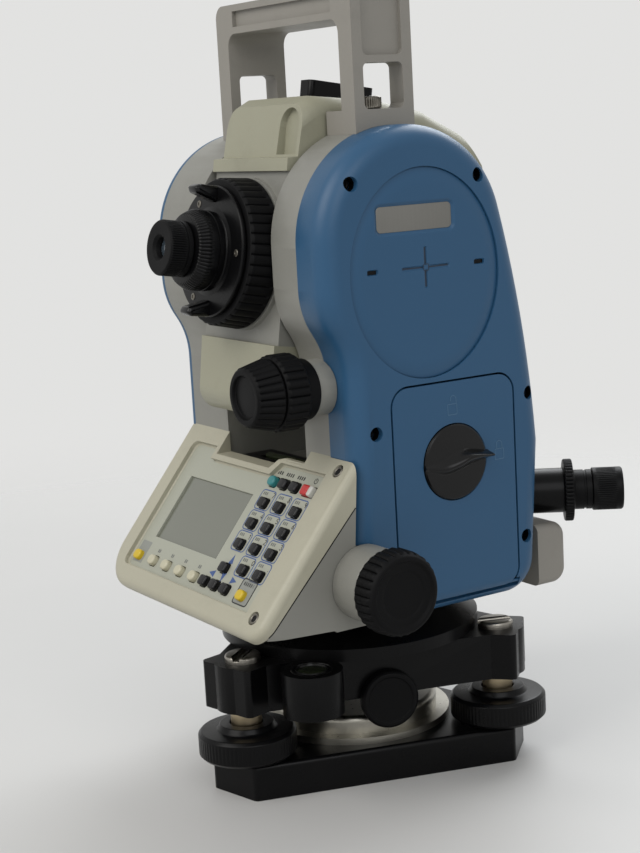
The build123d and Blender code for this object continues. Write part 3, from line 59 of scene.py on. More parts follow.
TRUNNION_Z = 230.2
ALIDADE_Z = 83.0  # underside of the alidade
OUTER_X, PLAIN_X = 73.5, -70.5  # faces of the right and the left cover
SIGHT_TILT = 8.73  # degrees between the line of sight and the level
FACE_LEAN = 39.3  # degrees between the key face and the upright
TO_EYE = shift(0, 0, TRUNNION_Z) @ turn("X", -SIGHT_TILT) @ turn("X", 90)
FACE = shift(0, -75, ALIDADE_Z + 22.6) @ turn("X", 90 - FACE_LEAN)
PLUMMET = shift(0, 0, 119.5) @ turn("Z", 54) @ turn("Y", 90)
VERTICAL_KNOB = shift(49.8, 0, 182.5) @ turn("X", 90)
HORIZONTAL_KNOB = shift(OUTER_X, -39, 102.2) @ turn("Y", 90)
BATTERY_SIDE = shift(OUTER_X, 0, 0) @ turn("Z", 90) @ turn("X", 90)  # local x along Y, y along Z, z along X
PLAIN_SIDE = shift(PLAIN_X, 0, 0) @ turn("Z", -90) @ turn("X", 90)  # local x along -Y, y along Z, z along -X
NEAR_EDGE = turn("Z", -17)  # local x towards the tribrach's near edge


def move(points, place):
    """Points (..., 3) carried by a frame."""
    return points @ place[:3, :3].T + place[:3, 3]


# Surface builders
CORNER_STEPS, EDGE_STEPS = 6, 5  # points on a softened corner and on a slab's rounded edge
WELD_GAP, SLIVER = 2e-7, 1e-7  # metres within which points merge and edges vanish


def soften(corners):
    """Closed polyline through (x, y) or (x, y, radius) corners, each corner swapped for a circular arc.

    The arc is a conic between the two tangent points with the corner as its control point and the sine of
    half the corner's angle as its weight, which makes it part of a circle.
    """
    c = np.array([(*corner, 0.0)[:3] for corner in corners], float)
    p, r = c[:, :2], c[:, 2]
    before, after = np.roll(p, 1, 0) - p, np.roll(p, -1, 0) - p
    lb, la = np.linalg.norm(before, axis=1), np.linalg.norm(after, axis=1)
    ub, ua = before / np.maximum(lb, TINY)[:, None], after / np.maximum(la, TINY)[:, None]
    half = np.arccos(np.clip((ub * ua).sum(1), -1, 1)) / 2
    least_tan, under_half_edge = 1e-3, 0.49 * np.minimum(lb, la)
    reach = np.minimum(r / np.maximum(np.tan(half), least_tan), under_half_edge)
    u = np.linspace(0, 1, CORNER_STEPS)[None, :, None]
    w = np.sin(half)[:, None, None]
    a, b = (p + ub * reach[:, None])[:, None], (p + ua * reach[:, None])[:, None]
    arc = (1 - u) ** 2 * a + 2 * w * u * (1 - u) * p[:, None] + u**2 * b
    arc /= (1 - u) ** 2 + 2 * w * u * (1 - u) + u**2
    line = arc.reshape(-1, 2)
    keep = np.linalg.norm(line - np.roll(line, 1, 0), axis=1) > SAME_POINT
    keep[0] = True
    return line[keep]


def quads(rows, cols, wrap_rows=False, wrap_cols=True):
    """Faces of a grid, as rows of four indices, wrapping where the surface closes on itself."""
    r = np.arange(rows if wrap_rows else rows - 1)
    c = np.arange(cols if wrap_cols else cols - 1)
    i, j = np.meshgrid(r, c, indexing="ij")
    i2, j2 = (i + 1) % rows, (j + 1) % cols
    return np.stack([i * cols + j, i * cols + j2, i2 * cols + j2, i2 * cols + j], -1).reshape(-1, 4)


def capped(rows, cols):
    """Faces of a row of closed rings: their grid, and one end face on the first and on the last ring."""
    return quads(rows, cols), np.arange(cols)[::-1], np.arange((rows - 1) * cols, rows * cols)


def piece(name, shells, paint, body, nodes=(), crease=32):
    """One object from shells, each of points in mm, a grid of faces and any end faces.

    Coinciding points merge, faces turn outwards, and edges that bend less than the crease angle are smooth.
    """
    points, faces, base = [], [], 0
    for shell, grid, *ends in shells:
        points.append(shell.reshape(-1, 3))
        faces += (grid + base).tolist() + [(end + base).tolist() for end in ends]
        base += len(points[-1])
    mesh = bpy.data.meshes.new(name)
    mesh.from_pydata((np.concatenate(points) * MM).tolist(), [], faces)
    work = bmesh.new()
    work.from_mesh(mesh)
    bmesh.ops.remove_doubles(work, verts=work.verts, dist=WELD_GAP)
    bmesh.ops.dissolve_degenerate(work, edges=work.edges, dist=SLIVER)
    bmesh.ops.recalc_face_normals(work, faces=work.faces)
    work.to_mesh(mesh)
    work.free()
    mesh.polygons.foreach_set("use_smooth", np.ones(len(mesh.polygons), bool))
    mesh.set_sharp_from_angle(angle=radians(crease))
    mesh.materials.append(paint)
    obj = bpy.data.objects.new(name, mesh)
    bpy.context.collection.objects.link(obj)
    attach(obj, body)
    if nodes:
        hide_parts(*nodes)


Ribs = namedtuple("Ribs", "count depth low high power")
RIB_STEP = 0.9  # spacing of the points along a ribbed profile
RIB_FADE = 0.6  # length over which ribs fade in at both ends of their band
RIB_FROM, RIB_BLEND = 0.72, 0.1  # shares of the greatest radius where ribs begin, and over which they fade in


def stepped(line):
    """Closed profile with points added about every RIB_STEP, so that ribs show on straight stretches."""
    loop = np.concatenate([line, line[:1]])
    along = np.concatenate([[0], np.cumsum(np.linalg.norm(np.diff(loop, axis=0), axis=1))])
    added = np.arange(RIB_STEP, along[-1], RIB_STEP)
    added = added[np.abs(added[:, None] - along[None]).min(1) > RIB_STEP / 5]
    marks = np.sort(np.concatenate([along[:-1], added]))
    return np.stack([np.interp(marks, along, loop[:, 0]), np.interp(marks, along, loop[:, 1])], -1)


def turned(profile, place, sides=72, ribs=None):
    """Surface of revolution about a frame's Z: radius and height come from the profile, the angle goes round.

    Ribs pull the radius in by depth times 1 - |sin(count * angle / 2)| ^ power, within the band from low to
    high and on the outer part of the profile only.
    """
    line = soften(profile)
    if ribs:
        line = stepped(line)
    r, h = line[:, :1], line[:, 1:]
    a = np.linspace(0, 2 * pi, sides, endpoint=False)[None]
    radius = r + 0 * a
    if ribs:
        fade = np.clip((h - ribs.low) / RIB_FADE, 0, 1) * np.clip((ribs.high - h) / RIB_FADE, 0, 1)
        outer = np.clip((r - RIB_FROM * r.max()) / (RIB_BLEND * r.max()), 0, 1)
        groove = 1 - np.abs(np.sin(ribs.count * a / 2)) ** ribs.power
        radius = r - ribs.depth * fade * outer * groove
    points = np.stack([radius * np.cos(a), radius * np.sin(a), h + 0 * a], -1)
    return move(points, place), quads(len(line), sides, wrap_rows=True)


def turned_node(name, profile, place, paint, body, sides=72, ribs=None):
    """Turned piece that stands in for the solid of its own name."""
    piece(name, [turned(profile, place, sides, ribs)], paint, body, (name,))


def inward(outline):
    """Normals of a closed outline, pointing to its inside, from the mean of the two neighbouring edges.

    Each is longer than 1 by the bend of its corner, so that an outline moved along them keeps its distance.
    """
    edge = np.roll(outline, -1, 0) - outline
    edge /= np.maximum(np.linalg.norm(edge, axis=1), TINY)[:, None]
    mean = edge + np.roll(edge, 1, 0)
    mean /= np.maximum(np.linalg.norm(mean, axis=1), TINY)[:, None]
    x, y = outline.T
    side = np.sign(np.sum(x * np.roll(y, -1) - np.roll(x, -1) * y))
    sharpest = 0.4
    bend = np.clip((mean * edge).sum(1), sharpest, 1)[:, None]
    return side * np.stack([-mean[:, 1], mean[:, 0]], -1) / bend


def rings(outline, inset, height):
    """An outline repeated at each height, moved inwards along its own normals by the inset there."""
    ring = outline[None] + inward(outline)[None] * inset[:, None, None]
    return np.concatenate([ring, np.broadcast_to(height[:, None, None], ring.shape[:2] + (1,))], -1)


def slab(outline, low, high, place, top_r=0.0, bottom_r=0.0):
    """Outline carried up an edge profile: a quarter round, a straight wall and another quarter round."""
    q = np.linspace(0, pi / 2, EDGE_STEPS)
    inset = np.concatenate([bottom_r * (1 - np.sin(q)), top_r * (1 - np.cos(q))])
    height = np.concatenate([low + bottom_r * (1 - np.cos(q)), high - top_r * (1 - np.sin(q))])
    return move(rings(outline, inset, height), place), *capped(len(inset), len(outline))


def stroke(line, width, height, place, closed=False):
    """Flat raised line: a rectangle of a width and a height carried along a polyline in a frame's XY."""
    line = np.asarray(line, float)
    way = np.roll(line, -1, 0) - np.roll(line, 1, 0) if closed else np.gradient(line, axis=0)
    way /= np.maximum(np.linalg.norm(way, axis=1), TINY)[:, None]
    side = np.stack([-way[:, 1], way[:, 0]], -1) * width / 2
    left, right = line + side, line - side
    flat = np.stack([left, right, right, left], 1)
    z = np.broadcast_to(np.array([0, 0, height, height])[None, :, None], flat.shape[:2] + (1,))
    faces = [quads(len(line), 4, wrap_rows=True)] if closed else capped(len(line), 4)
    return move(np.concatenate([flat, z], -1), place), *faces


def box_outline(u, v, width, height, radius=0.0):
    """Closed outline of a rectangle with rounded corners about a middle point."""
    x, y = width / 2, height / 2
    return soften([(u + sx * x, v + sy * y, radius) for sx, sy in ((-1, -1), (1, -1), (1, 1), (-1, 1))])


# Materials
class Wire:
    """A shader value; arithmetic on it adds Math nodes to its material."""

    def __init__(self, finish, socket):
        self.finish, self.socket = finish, socket

    def _math(self, operation, other, swap=False):
        pair = (other, self) if swap else (self, other)
        return self.finish.node("ShaderNodeMath", {"operation": operation}, {0: pair[0], 1: pair[1]})

    def __add__(self, other):
        return self._math("ADD", other)

    __radd__ = __add__

    def __sub__(self, other):
        return self._math("SUBTRACT", other)

    def __rsub__(self, other):
        return self._math("SUBTRACT", other, True)

    def __mul__(self, other):
        return self._math("MULTIPLY", other)

    __rmul__ = __mul__

    def beside(self, name):
        """Another output of the node that this value comes from."""
        return Wire(self.finish, self.socket.node.outputs[name])


class Finish:
    """A material or the room's world under construction: its own shader and the nodes that feed it."""

    def __init__(self, name, world=None):
        self.material = world or bpy.data.materials.new(name)
        self.material.use_nodes = True
        self.tree = self.material.node_tree
        self.shader = self.tree.nodes.get("Principled BSDF") or self.tree.nodes["Background"]

    def node(self, kind, settings=None, inputs=None, output=0):
        """Adds a node of a type, sets its settings, then its sockets' values or links; gives one output."""
        made = self.tree.nodes.new(kind)
        for key, value in (settings or {}).items():
            setattr(made, key, value)
        for key, value in (inputs or {}).items():
            self.feed(made.inputs[key], value)
        return Wire(self, made.outputs[output])

    def feed(self, socket, value):
        """Links a Wire to a socket, or sets the socket's own value."""
        if isinstance(value, Wire):
            self.tree.links.new(value.socket, socket)
        else:
            socket.default_value = value

    def set(self, **sockets):
        """Feeds the shader's sockets, underscores standing for spaces."""
        for key, value in sockets.items():
            self.feed(self.shader.inputs[key.replace("_", " ")], value)
        return self

    def place(self):
        """Object coordinates, in metres."""
        return self.node("ShaderNodeTexCoord", output="Object")

    def noise(self, scale, detail=2.0, rough=0.5, where=None):
        """Noise value between 0 and 1 on Object coordinates; scale is per metre."""
        return self.node(
            "ShaderNodeTexNoise", None,
            {"Vector": where or self.place(), "Scale": scale, "Detail": detail, "Roughness": rough},
        )

    def mix(self, factor, a, b):
        """Colour from a to b by a factor; a colour Mix node has its two colours at inputs 6 and 7."""
        return self.node("ShaderNodeMix", {"data_type": "RGBA"}, {0: factor, 6: a, 7: b}, output=2)

    def bump(self, height, distance):
        """Normal bent by a height value, over a distance in metres."""
        return self.node("ShaderNodeBump", None, {"Height": height, "Distance": distance, "Strength": 1.0})


def srgb(r, g, b):
    """Linear colour of 0 to 255 sRGB values."""
    c = np.array([r, g, b]) / 255
    c = np.where(c <= 0.04045, c / 12.92, ((c + 0.055) / 1.055) ** 2.4)
    return (float(c[0]), float(c[1]), float(c[2]), 1.0)


def shade(colour, factor):
    """A colour made lighter or darker."""
    return tuple(min(1.0, c * factor) for c in colour[:3]) + (1.0,)


DRIFT_SCALE, PATCH_SCALE, GRIME_SCALE, STAIN_SCALE, SMEAR_SCALE = 14, 70, 55, 40, 60  # noise, per metre
SPECK_DARK, GRIME_DARK = 0.8, 0.45  # shares of the colour that stay in a speck and under grime
SPECK_SHARE = 0.5  # how far the grain's noise mixes the speck's colour in
GRIME_FROM, GRIME_STEEP = 0.52, 6.0  # noise value where grime begins, and how fast it thickens above it
STAIN_DARK, STAIN_LIGHT = 0.82, 1.08
PATCH_ROUGH, GRAIN_ROUGH, LAY_ROUGH, SMEAR_ROUGH = 0.16, 0.1, 0.25, 0.06  # span of roughness that each adds
LAY_DEPTH, COAT_ROUGH, GLASS_ROUGH, GLASS_COAT = 0.02, 0.2, 0.03, 0.5


def moulded(name, rgb, rough, grain=0.0, grain_scale=2600, spread=0.12, grime=0.0, coat=0.0, sheen=0.5):
    """Moulded plastic or paint: tint drifting over the piece, fine eroded grain, roughness in patches."""
    f, colour = Finish(name), srgb(*rgb)
    fine, patch = f.noise(grain_scale), f.noise(PATCH_SCALE, detail=4.0)
    tone = f.mix(f.noise(DRIFT_SCALE, detail=3.0), shade(colour, 1 - spread), shade(colour, 1 + spread))
    tone = f.mix(fine * SPECK_SHARE, tone, shade(colour, SPECK_DARK))
    if grime:
        dirt = (f.noise(GRIME_SCALE, detail=5.0, rough=0.65) - GRIME_FROM) * GRIME_STEEP
        tone = f.mix(dirt * grime, tone, shade(colour, GRIME_DARK))
    roughness = rough + (patch - 0.5) * PATCH_ROUGH + (fine - 0.5) * GRAIN_ROUGH
    f.set(Base_Color=tone, Roughness=roughness, Normal=f.bump(fine, grain * MM))
    f.set(Coat_Weight=coat, Coat_Roughness=COAT_ROUGH, Specular_IOR_Level=sheen)
    return f.material


def metal(name, rgb, rough, streak=(900, 60, 60)):
    """Machined metal: streaked roughness and a fine lay left by the tool."""
    f, colour = Finish(name), srgb(*rgb)
    stretched = f.node("ShaderNodeMapping", {"vector_type": "POINT"}, {"Vector": f.place(), "Scale": streak})
    lay = f.noise(1.0, detail=3.0, rough=0.6, where=stretched)
    tone = f.mix(f.noise(STAIN_SCALE, detail=4.0), shade(colour, STAIN_DARK), shade(colour, STAIN_LIGHT))
    f.set(Base_Color=tone, Metallic=1.0)
    f.set(Roughness=rough + (lay - 0.5) * LAY_ROUGH, Normal=f.bump(lay, LAY_DEPTH * MM))
    return f.material


def clear(name, rgb, alpha):
    """Glass or clear plastic: a tinted see-through skin with faint smears in its gloss."""
    f = Finish(name)
    smear = f.noise(SMEAR_SCALE, detail=4.0)
    f.set(Base_Color=srgb(*rgb), Roughness=GLASS_ROUGH + smear * SMEAR_ROUGH)
    f.set(Alpha=alpha, Coat_Weight=GLASS_COAT)
    return f.material


BLUE = moulded("cover_blue", (42, 82, 115), 0.4, grain=0.02, spread=0.05, sheen=0.35)
# darker blue painted shade for the floors of the sunk cross hairs and the cross's middle square
BLUE_GROOVE_SHADE = moulded("cover_groove_shade", (20, 38, 58), 0.55)
BLUE_MARK = moulded("cover_mark", (66, 102, 130), 0.45)
BEIGE = moulded("housing_beige", (170, 166, 147), 0.46, grain=0.03, spread=0.05, grime=0.1)
COVER = moulded("scope_beige", (151, 149, 129), 0.48, grain=0.03, spread=0.05, grime=0.12)
GREY = moulded("frame_grey", (130, 129, 122), 0.45, grain=0.03, spread=0.05, grime=0.1)
PALE = moulded("handle_grey", (138, 134, 126), 0.5, grain=0.03, spread=0.05, grime=0.12)
PLATE = moulded("key_plate", (163, 164, 150), 0.5, grain=0.012, spread=0.03)
SATIN = moulded("satin_black", (8, 8, 9), 0.3, grain=0.02, spread=0.2, coat=0.04, sheen=0.12)
SOFT_BLACK = moulded("knob_black", (9, 9, 10), 0.42, grain=0.02, spread=0.2, sheen=0.1)
GLOSS_BLACK = moulded("latch_black", (9, 9, 10), 0.24, grain=0.006, spread=0.15, coat=0.15, sheen=0.2)
RUBBER = moulded("grip_rubber", (11, 11, 12), 0.55, grain=0.04, grain_scale=1800, spread=0.2, sheen=0.1)
STEEL = metal("bright_steel", (190, 188, 182), 0.3)
SLEEVE = metal("sleeve_steel", (196, 180, 150), 0.36, (60, 60, 900))
CAP = metal("cap_steel", (150, 146, 138), 0.32)
SCREW = metal("screw_steel", (120, 116, 108), 0.38)
SILVER = metal("spring_silver", (160, 157, 148), 0.32, (500, 500, 40))
LABEL = metal("label_silver", (126, 125, 121), 0.45, (40, 900, 40))
BRASS = metal("brass", (176, 140, 70), 0.3)
GLASS = clear("lens_glass", (60, 70, 78), 0.75)
VIAL = clear("vial_glass", (38, 44, 28), 0.85)
LCD = moulded("display_grey", (106, 108, 96), 0.2, spread=0.04, coat=0.6)
TEAL = moulded("key_teal", (38, 122, 124), 0.32)
KEY_BLACK = moulded("key_black", (12, 12, 14), 0.28, coat=0.1, sheen=0.2)
RED = moulded("key_red", (184, 30, 30), 0.32)
WHITE = moulded("key_white", (196, 194, 186), 0.35)
YELLOW = moulded("key_yellow", (202, 172, 26), 0.35)
CREAM = moulded("key_cream", (188, 183, 158), 0.35)
# black print colour, also used for the painted shadow lines along the key plate's edges
INK_AND_SHADOW = moulded("print_and_shadow_black", (26, 26, 28), 0.6)
BLUE_INK = moulded("print_blue", (60, 84, 134), 0.6)
GREY_INK = moulded("print_grey", (104, 106, 102), 0.6)
FIELD = moulded("print_field", (138, 140, 134), 0.6)

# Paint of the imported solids; keys that aren't named here are black
SOLID_PAINT = {
    SATIN: "base_plate tribrach_body instrument_base plate_level plummet_tube"
    " sight_collimator eyepiece_mount",
    SOFT_BLACK: "footscrew_right footscrew_left footscrew_front tribrach_clamp_knob battery_pack",
    RUBBER: "vertical_clamp_ring vertical_tangent_knob horizontal_clamp_ring horizontal_tangent_knob"
    " plummet_focus_ring plummet_eyepiece focus_ring eyepiece",
    BLUE: "right_cover left_cover oval_covers battery_door",
    GREY: "alidade_frame telescope_body",
    PALE: "rear_housing carry_handle",
    COVER: "telescope_upper_cover telescope_lower_cover",
    GLASS: "horizontal_circle vertical_circle objective_lens",
    STEEL: "vertical_axis trunnion_axle",
    SCREW: "case_screws handle_screw_right handle_screw_left",
    SILVER: "spring_plate", SLEEVE: "footscrew_bushes", VIAL: "circular_level", BEIGE: "control_panel",
    PLATE: "face_plate", LCD: "lcd_window", GLOSS_BLACK: "battery_knob", TEAL: "key_mode", RED: "key_power",
    YELLOW: "key_enter key_escape", CREAM: "key_soft_1 key_soft_2 key_soft_3 key_soft_4",
}
PAINT_OF = {name: paint for paint, names in SOLID_PAINT.items() for name in names.split()}
for node_name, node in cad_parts.items():
    node.data.materials.clear()
    node.data.materials.append(PAINT_OF.get(node_name, KEY_BLACK))


# Rounded edges of the solids that stay: width of the rounding
EASED = {
    "alidade_frame": 1.0, "control_panel": 0.9, "tribrach_body": 1.0, "carry_handle": 1.0,
    "telescope_body": 1.3, "rear_housing": 1.2, "plate_level": 0.4, "telescope_upper_cover": 1.2,
    "telescope_lower_cover": 1.5, "sight_collimator": 0.8, "right_cover": 0.3, "left_cover": 0.3,
    "battery_door": 0.3, "face_plate": 0.15, "base_plate": 0.8,
}
EASED_ANGLE, EASED_STEPS = 40, 3  # degrees of bend from which an edge is rounded, and steps of the rounding
EASED_WELD = 2e-6  # metres within which a solid's loose triangles are joined


def ease(node_name, width):
    """Rounds the sharp edges of a solid that stays: its loose triangles are welded, then bevelled."""
    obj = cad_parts[node_name]
    weld = obj.modifiers.new("weld", "WELD")
    weld.merge_threshold = EASED_WELD
    bevel = obj.modifiers.new("round", "BEVEL")
    bevel.width, bevel.segments = width * MM, EASED_STEPS
    bevel.limit_method, bevel.angle_limit = "ANGLE", radians(EASED_ANGLE)
    bevel.use_clamp_overlap = True
    bevel.harden_normals = True


# Camera at the photograph's place, and the stage: places in metres
CAMERA_AT, FOCAL_LENGTH, SENSOR_W = (0.6458, -0.4148, 0.2906), 71.28, 36.0
CAMERA_AZIMUTH, CAMERA_ELEVATION, CAMERA_ROLL = radians(57.95), radians(10.08), radians(-3.17)
FLOOR_HALF, FLOOR_FADE = 4.0, (0.3, 0.95)  # the floor fades out between two distances from the instrument
FLOOR_DARK, FLOOR_LIGHT = (0.52, 0.515, 0.5, 1), (0.55, 0.54, 0.525, 1)
FLOOR_SCALE, FLOOR_ROUGH = 6, 0.6
ROOM_LIGHT, ROOM_STRENGTH = (0.86, 0.88, 0.9, 1), 0.56  # what lights the object
ROOM_SEEN = (0.76, 0.76, 0.75, 1)  # what shows behind it and in its gloss
LAMP_AIM = Vector((0, 0, 0.17))
LAMPS = (  # name, place, width, watts, colour
    ("window", (-0.7, 1.2, 1.5), 1.4, 28, (0.94, 0.97, 1.0)),
    ("key", (0.1, -1.5, 1.4), 1.3, 20, (1.0, 0.98, 0.95)),
    ("side", (1.6, -0.5, 1.2), 1.2, 9, (0.97, 0.98, 1.0)),
)


def photo_camera():
    """Camera that looks along an azimuth and an elevation, rolled about its own line of sight."""
    look = Vector((
        -sin(CAMERA_AZIMUTH) * cos(CAMERA_ELEVATION), cos(CAMERA_AZIMUTH) * cos(CAMERA_ELEVATION),
        -sin(CAMERA_ELEVATION),
    ))
    right = Vector((cos(CAMERA_AZIMUTH), sin(CAMERA_AZIMUTH), 0))
    up = right.cross(look)
    image_right = right * cos(CAMERA_ROLL) + up * sin(CAMERA_ROLL)
    image_up = up * cos(CAMERA_ROLL) - right * sin(CAMERA_ROLL)
    lens = bpy.data.cameras.new("camera")
    lens.lens, lens.sensor_width, lens.sensor_fit = FOCAL_LENGTH, SENSOR_W, "AUTO"
    camera = bpy.data.objects.new("camera", lens)
    bpy.context.collection.objects.link(camera)
    axes = Matrix((image_right, image_up, -look)).transposed().to_4x4()
    camera.matrix_world = Matrix.Translation(CAMERA_AT) @ axes
    bpy.context.scene.camera = camera


def pale_floor():
    """Square floor whose alpha falls from 1 to 0 in an S curve over its distance from the instrument."""
    h = FLOOR_HALF
    mesh = bpy.data.meshes.new("floor")
    mesh.from_pydata([(-h, -h, 0), (h, -h, 0), (h, h, 0), (-h, h, 0)], [], [(0, 1, 2, 3)])
    floor = bpy.data.objects.new("floor", mesh)
    bpy.context.collection.objects.link(floor)
    f = Finish("floor_pale")
    far = f.node("ShaderNodeVectorMath", {"operation": "LENGTH"}, {0: f.place()}, output="Value")
    fade = f.node(
        "ShaderNodeMapRange", {"interpolation_type": "SMOOTHSTEP"},
        {"Value": far, "From Min": FLOOR_FADE[0], "From Max": FLOOR_FADE[1], "To Min": 1.0, "To Max": 0.0},
    )
    f.set(Base_Color=f.mix(f.noise(FLOOR_SCALE), FLOOR_DARK, FLOOR_LIGHT), Roughness=FLOOR_ROUGH, Alpha=fade)
    mesh.materials.append(f.material)


def lamps():
    """Soft square lamps, all aimed at the middle of the instrument."""
    for name, where, width, watts, colour in LAMPS:
        lamp = bpy.data.lights.new(name, "AREA")
        lamp.energy, lamp.size, lamp.color = watts, width, colour
        obj = bpy.data.objects.new(name, lamp)
        bpy.context.collection.objects.link(obj)
        obj.location = where
        obj.rotation_euler = (LAMP_AIM - Vector(where)).to_track_quat("-Z", "Y").to_euler()


def pale_room():
    """Even pale room: one grey lights the object, another shows where the room is seen or mirrored."""
    world = bpy.data.worlds.new("room")
    room = Finish("room", world).set(Color=ROOM_LIGHT, Strength=ROOM_STRENGTH)
    lit = Wire(room, room.shader.outputs[0])
    pale = room.node("ShaderNodeBackground", None, {"Color": ROOM_SEEN, "Strength": 1.0})
    camera_ray = room.node("ShaderNodeLightPath", output="Is Camera Ray")
    seen = camera_ray + camera_ray.beside("Is Glossy Ray") + camera_ray.beside("Is Transmission Ray")
    both = room.node("ShaderNodeMixShader", None, {0: seen, 1: lit, 2: pale})
    room.feed(room.tree.nodes["World Output"].inputs[0], both)
    bpy.context.scene.world = world


# Tribrach: footscrews, their bushes, the circular level and the clamp knob
FOOT_R = 69.0
FOOT_TURNS = {"footscrew_right": 43, "footscrew_left": 163, "footscrew_front": 283}
FOOTSCREWS = {name: turn("Z", degrees) @ shift(FOOT_R, 0, 0) for name, degrees in FOOT_TURNS.items()}
ARM_TOP = 60.0
CAP_R, CAP_SEAT, CAP_TOP, CAP_EDGE_R, CAP_SUNK = 8.0, 61.6, 63.2, 1.4, 0.1  # the last: halves into the seat
CAP_SLOT, CAP_SLOT_TURN = 1.6, 25  # width of the driver slot, and its turn from the arm in degrees
LEVEL = NEAR_EDGE @ shift(60, -35, 0)
LEVEL_NIB = LEVEL @ shift(-6, -3, 0)
CLAMP_KNOB = NEAR_EDGE @ shift(47.5, 2.4, 38.1) @ turn("Y", 90)


def footscrew(name):
    """Turned knob with a finely ribbed rim, a sloping top, a raised collar and the spindle through it."""
    knob = [
        (0, 8.4), (4.95, 8.4, 0.4), (4.95, 17), (20.4, 17, 0.8), (22, 18.6, 0.8), (22, 27.4, 1.0),
        (20.6, 28.8, 0.8), (13.6, 29.1, 0.3), (13.1, 29.6, 0.3), (12.0, 31.6, 0.5), (7.5, 31.6, 0.3),
        (7.5, 29.3), (5.95, 29.3), (5.95, 56.4), (0, 56.4),
    ]
    ribs = Ribs(72, 0.16, 18.6, 27.4, 0.6)
    turned_node(name, knob, FOOTSCREWS[name], SATIN, name, 360, ribs)


def foot_bushes():
    """Scuffed sleeves under the arms, and domed caps with a driver slot on top of them.

    Each half of a dome is a slab with a rounded edge, on half an ellipse that ends at the slot.
    """
    tube = [
        (6.05, 29.5), (6.9, 29.5, 0.2), (7, 29.8), (7, 38.9), (7.9, 39.1), (7.9, ARM_TOP), (6.05, ARM_TOP),
    ]
    seat = [(0, ARM_TOP - 1), (CAP_R, ARM_TOP - 1), (CAP_R, CAP_SEAT, 0.3), (0, CAP_SEAT)]
    blunt = 0.1  # radians left off at the dome's corners
    a = np.linspace(blunt, pi - blunt, 24)
    dome = np.stack([CAP_R * np.cos(a), CAP_SLOT / 2 + (CAP_R - CAP_SLOT / 2) * np.sin(a)], -1)
    sleeves, caps = [], []
    for place in FOOTSCREWS.values():
        sleeves.append(turned(tube, place))
        caps.append(turned(seat, place))
        for side in (0, 180):
            halved = place @ turn("Z", side + CAP_SLOT_TURN)
            caps.append(slab(dome, CAP_SEAT - CAP_SUNK, CAP_TOP, halved, CAP_EDGE_R))
    piece("foot_sleeves", sleeves, SLEEVE, "tribrach", ("footscrew_bushes",))
    piece("foot_caps", caps, CAP, "tribrach", ("footscrew_bushes",))


def circular_level():
    """Black cup with two turned rings round a dark domed glass, and the adjusting nib under its boss."""
    cup = [
        (0, 52), (9.45, 52), (9.45, 60.0, 0.3), (8.9, 60.25, 0.2), (8.3, 60.25, 0.2), (8.0, 59.5, 0.2),
        (7.5, 59.5, 0.2), (7.3, 60.2, 0.2), (6.7, 60.2, 0.2), (6.4, 59.2, 0.2), (0, 59.2),
    ]
    piece("level_cup", [turned(cup, LEVEL)], GLOSS_BLACK, "tribrach", ("circular_level",))
    lens = [(0, 59.2), (6.35, 59.2), (6.35, 59.5), (4.4, 59.95, 2.0), (0, 60.1)]
    piece("level_glass", [turned(lens, LEVEL)], VIAL, "tribrach")
    nib = [
        (0, 36.9), (1.0, 36.9, 0.2), (1.6, 37.6, 0.2), (1.6, 38.8), (1.2, 39.0), (1.2, 39.4), (2.1, 39.6),
        (2.1, 40.7), (0, 40.7),
    ]
    piece("level_nib", [turned(nib, LEVEL_NIB, 32)], BRASS, "tribrach")


def tribrach_clamp():
    """Low round knob with a rounded rim and a slightly sunk face, on its pin."""
    knob = [
        (0, -5.6), (3, -5.6), (3, 0.4), (12.6, 0.4, 0.5), (13.2, 1.2, 0.5), (13.2, 4.2, 1.0),
        (12.0, 5.4, 0.7), (10.6, 5.4, 0.3), (10.0, 4.8, 0.3), (0, 4.8),
    ]
    turned_node("tribrach_clamp_knob", knob, CLAMP_KNOB, SOFT_BLACK, "tribrach_clamp")


# Clamp and tangent knobs
def vertical_knobs():
    """Ribbed clamp ring behind a plain collar, and a ribbed tapering knob with a dished face ahead of it."""
    ring = [
        (6.1, 47.9), (12.5, 47.9, 0.5), (13, 48.6, 0.5), (13, 54.2), (15.6, 54.4, 0.4), (16.3, 55.3, 0.6),
        (16.3, 64.3, 0.9), (15.2, 65.5, 0.6), (6.1, 65.5),
    ]
    knob = [
        (0, 39.5), (3, 39.5), (3, 65.9), (14.4, 65.9, 0.5), (15.2, 66.7, 0.6), (12.7, 76.6, 0.8),
        (11.4, 77.9, 0.8), (9.4, 77.9, 0.5), (8.9, 76.4, 0.4), (0, 76.3),
    ]
    ribs = Ribs(27, 1.3, 54.8, 65.2, 0.45)
    turned_node("vertical_clamp_ring", ring, VERTICAL_KNOB, RUBBER, "vertical_clamp", 360, ribs)
    ribs = Ribs(27, 1.2, 66.1, 77.0, 0.45)
    turned_node("vertical_tangent_knob", knob, VERTICAL_KNOB, RUBBER, "vertical_tangent", 360, ribs)
    face = turned([(0, 76.2), (8.4, 76.2), (8.4, 76.5, 0.1), (0, 76.6)], VERTICAL_KNOB)
    piece("vertical_knob_face", [face], SOFT_BLACK, "vertical_tangent")


def horizontal_knobs():
    """Two ribbed rings side by side, the outer one with a broad dished face."""
    ring = [(6.1, 18.6), (17.2, 18.6, 0.5), (18, 19.4, 0.5), (18, 24.0), (6.1, 24.0)]
    knob = [
        (0, 10.2), (3, 10.2), (3, 24.1), (18, 24.1), (17.6, 27.6, 1.2), (16.0, 30.0, 1.4),
        (14.4, 30.2, 0.6), (13.2, 29.2, 1.0), (10.4, 28.9), (9.8, 28.5, 0.4), (0, 28.4),
    ]
    for name, body, profile, ribs in (
        ("horizontal_clamp_ring", "horizontal_clamp", ring, Ribs(30, 1.2, 18.8, 24.8, 0.42)),
        ("horizontal_tangent_knob", "horizontal_tangent", knob, Ribs(30, 1.2, 23.2, 28.6, 0.42)),
    ):
        turned_node(name, profile, HORIZONTAL_KNOB, RUBBER, body, 480, ribs)


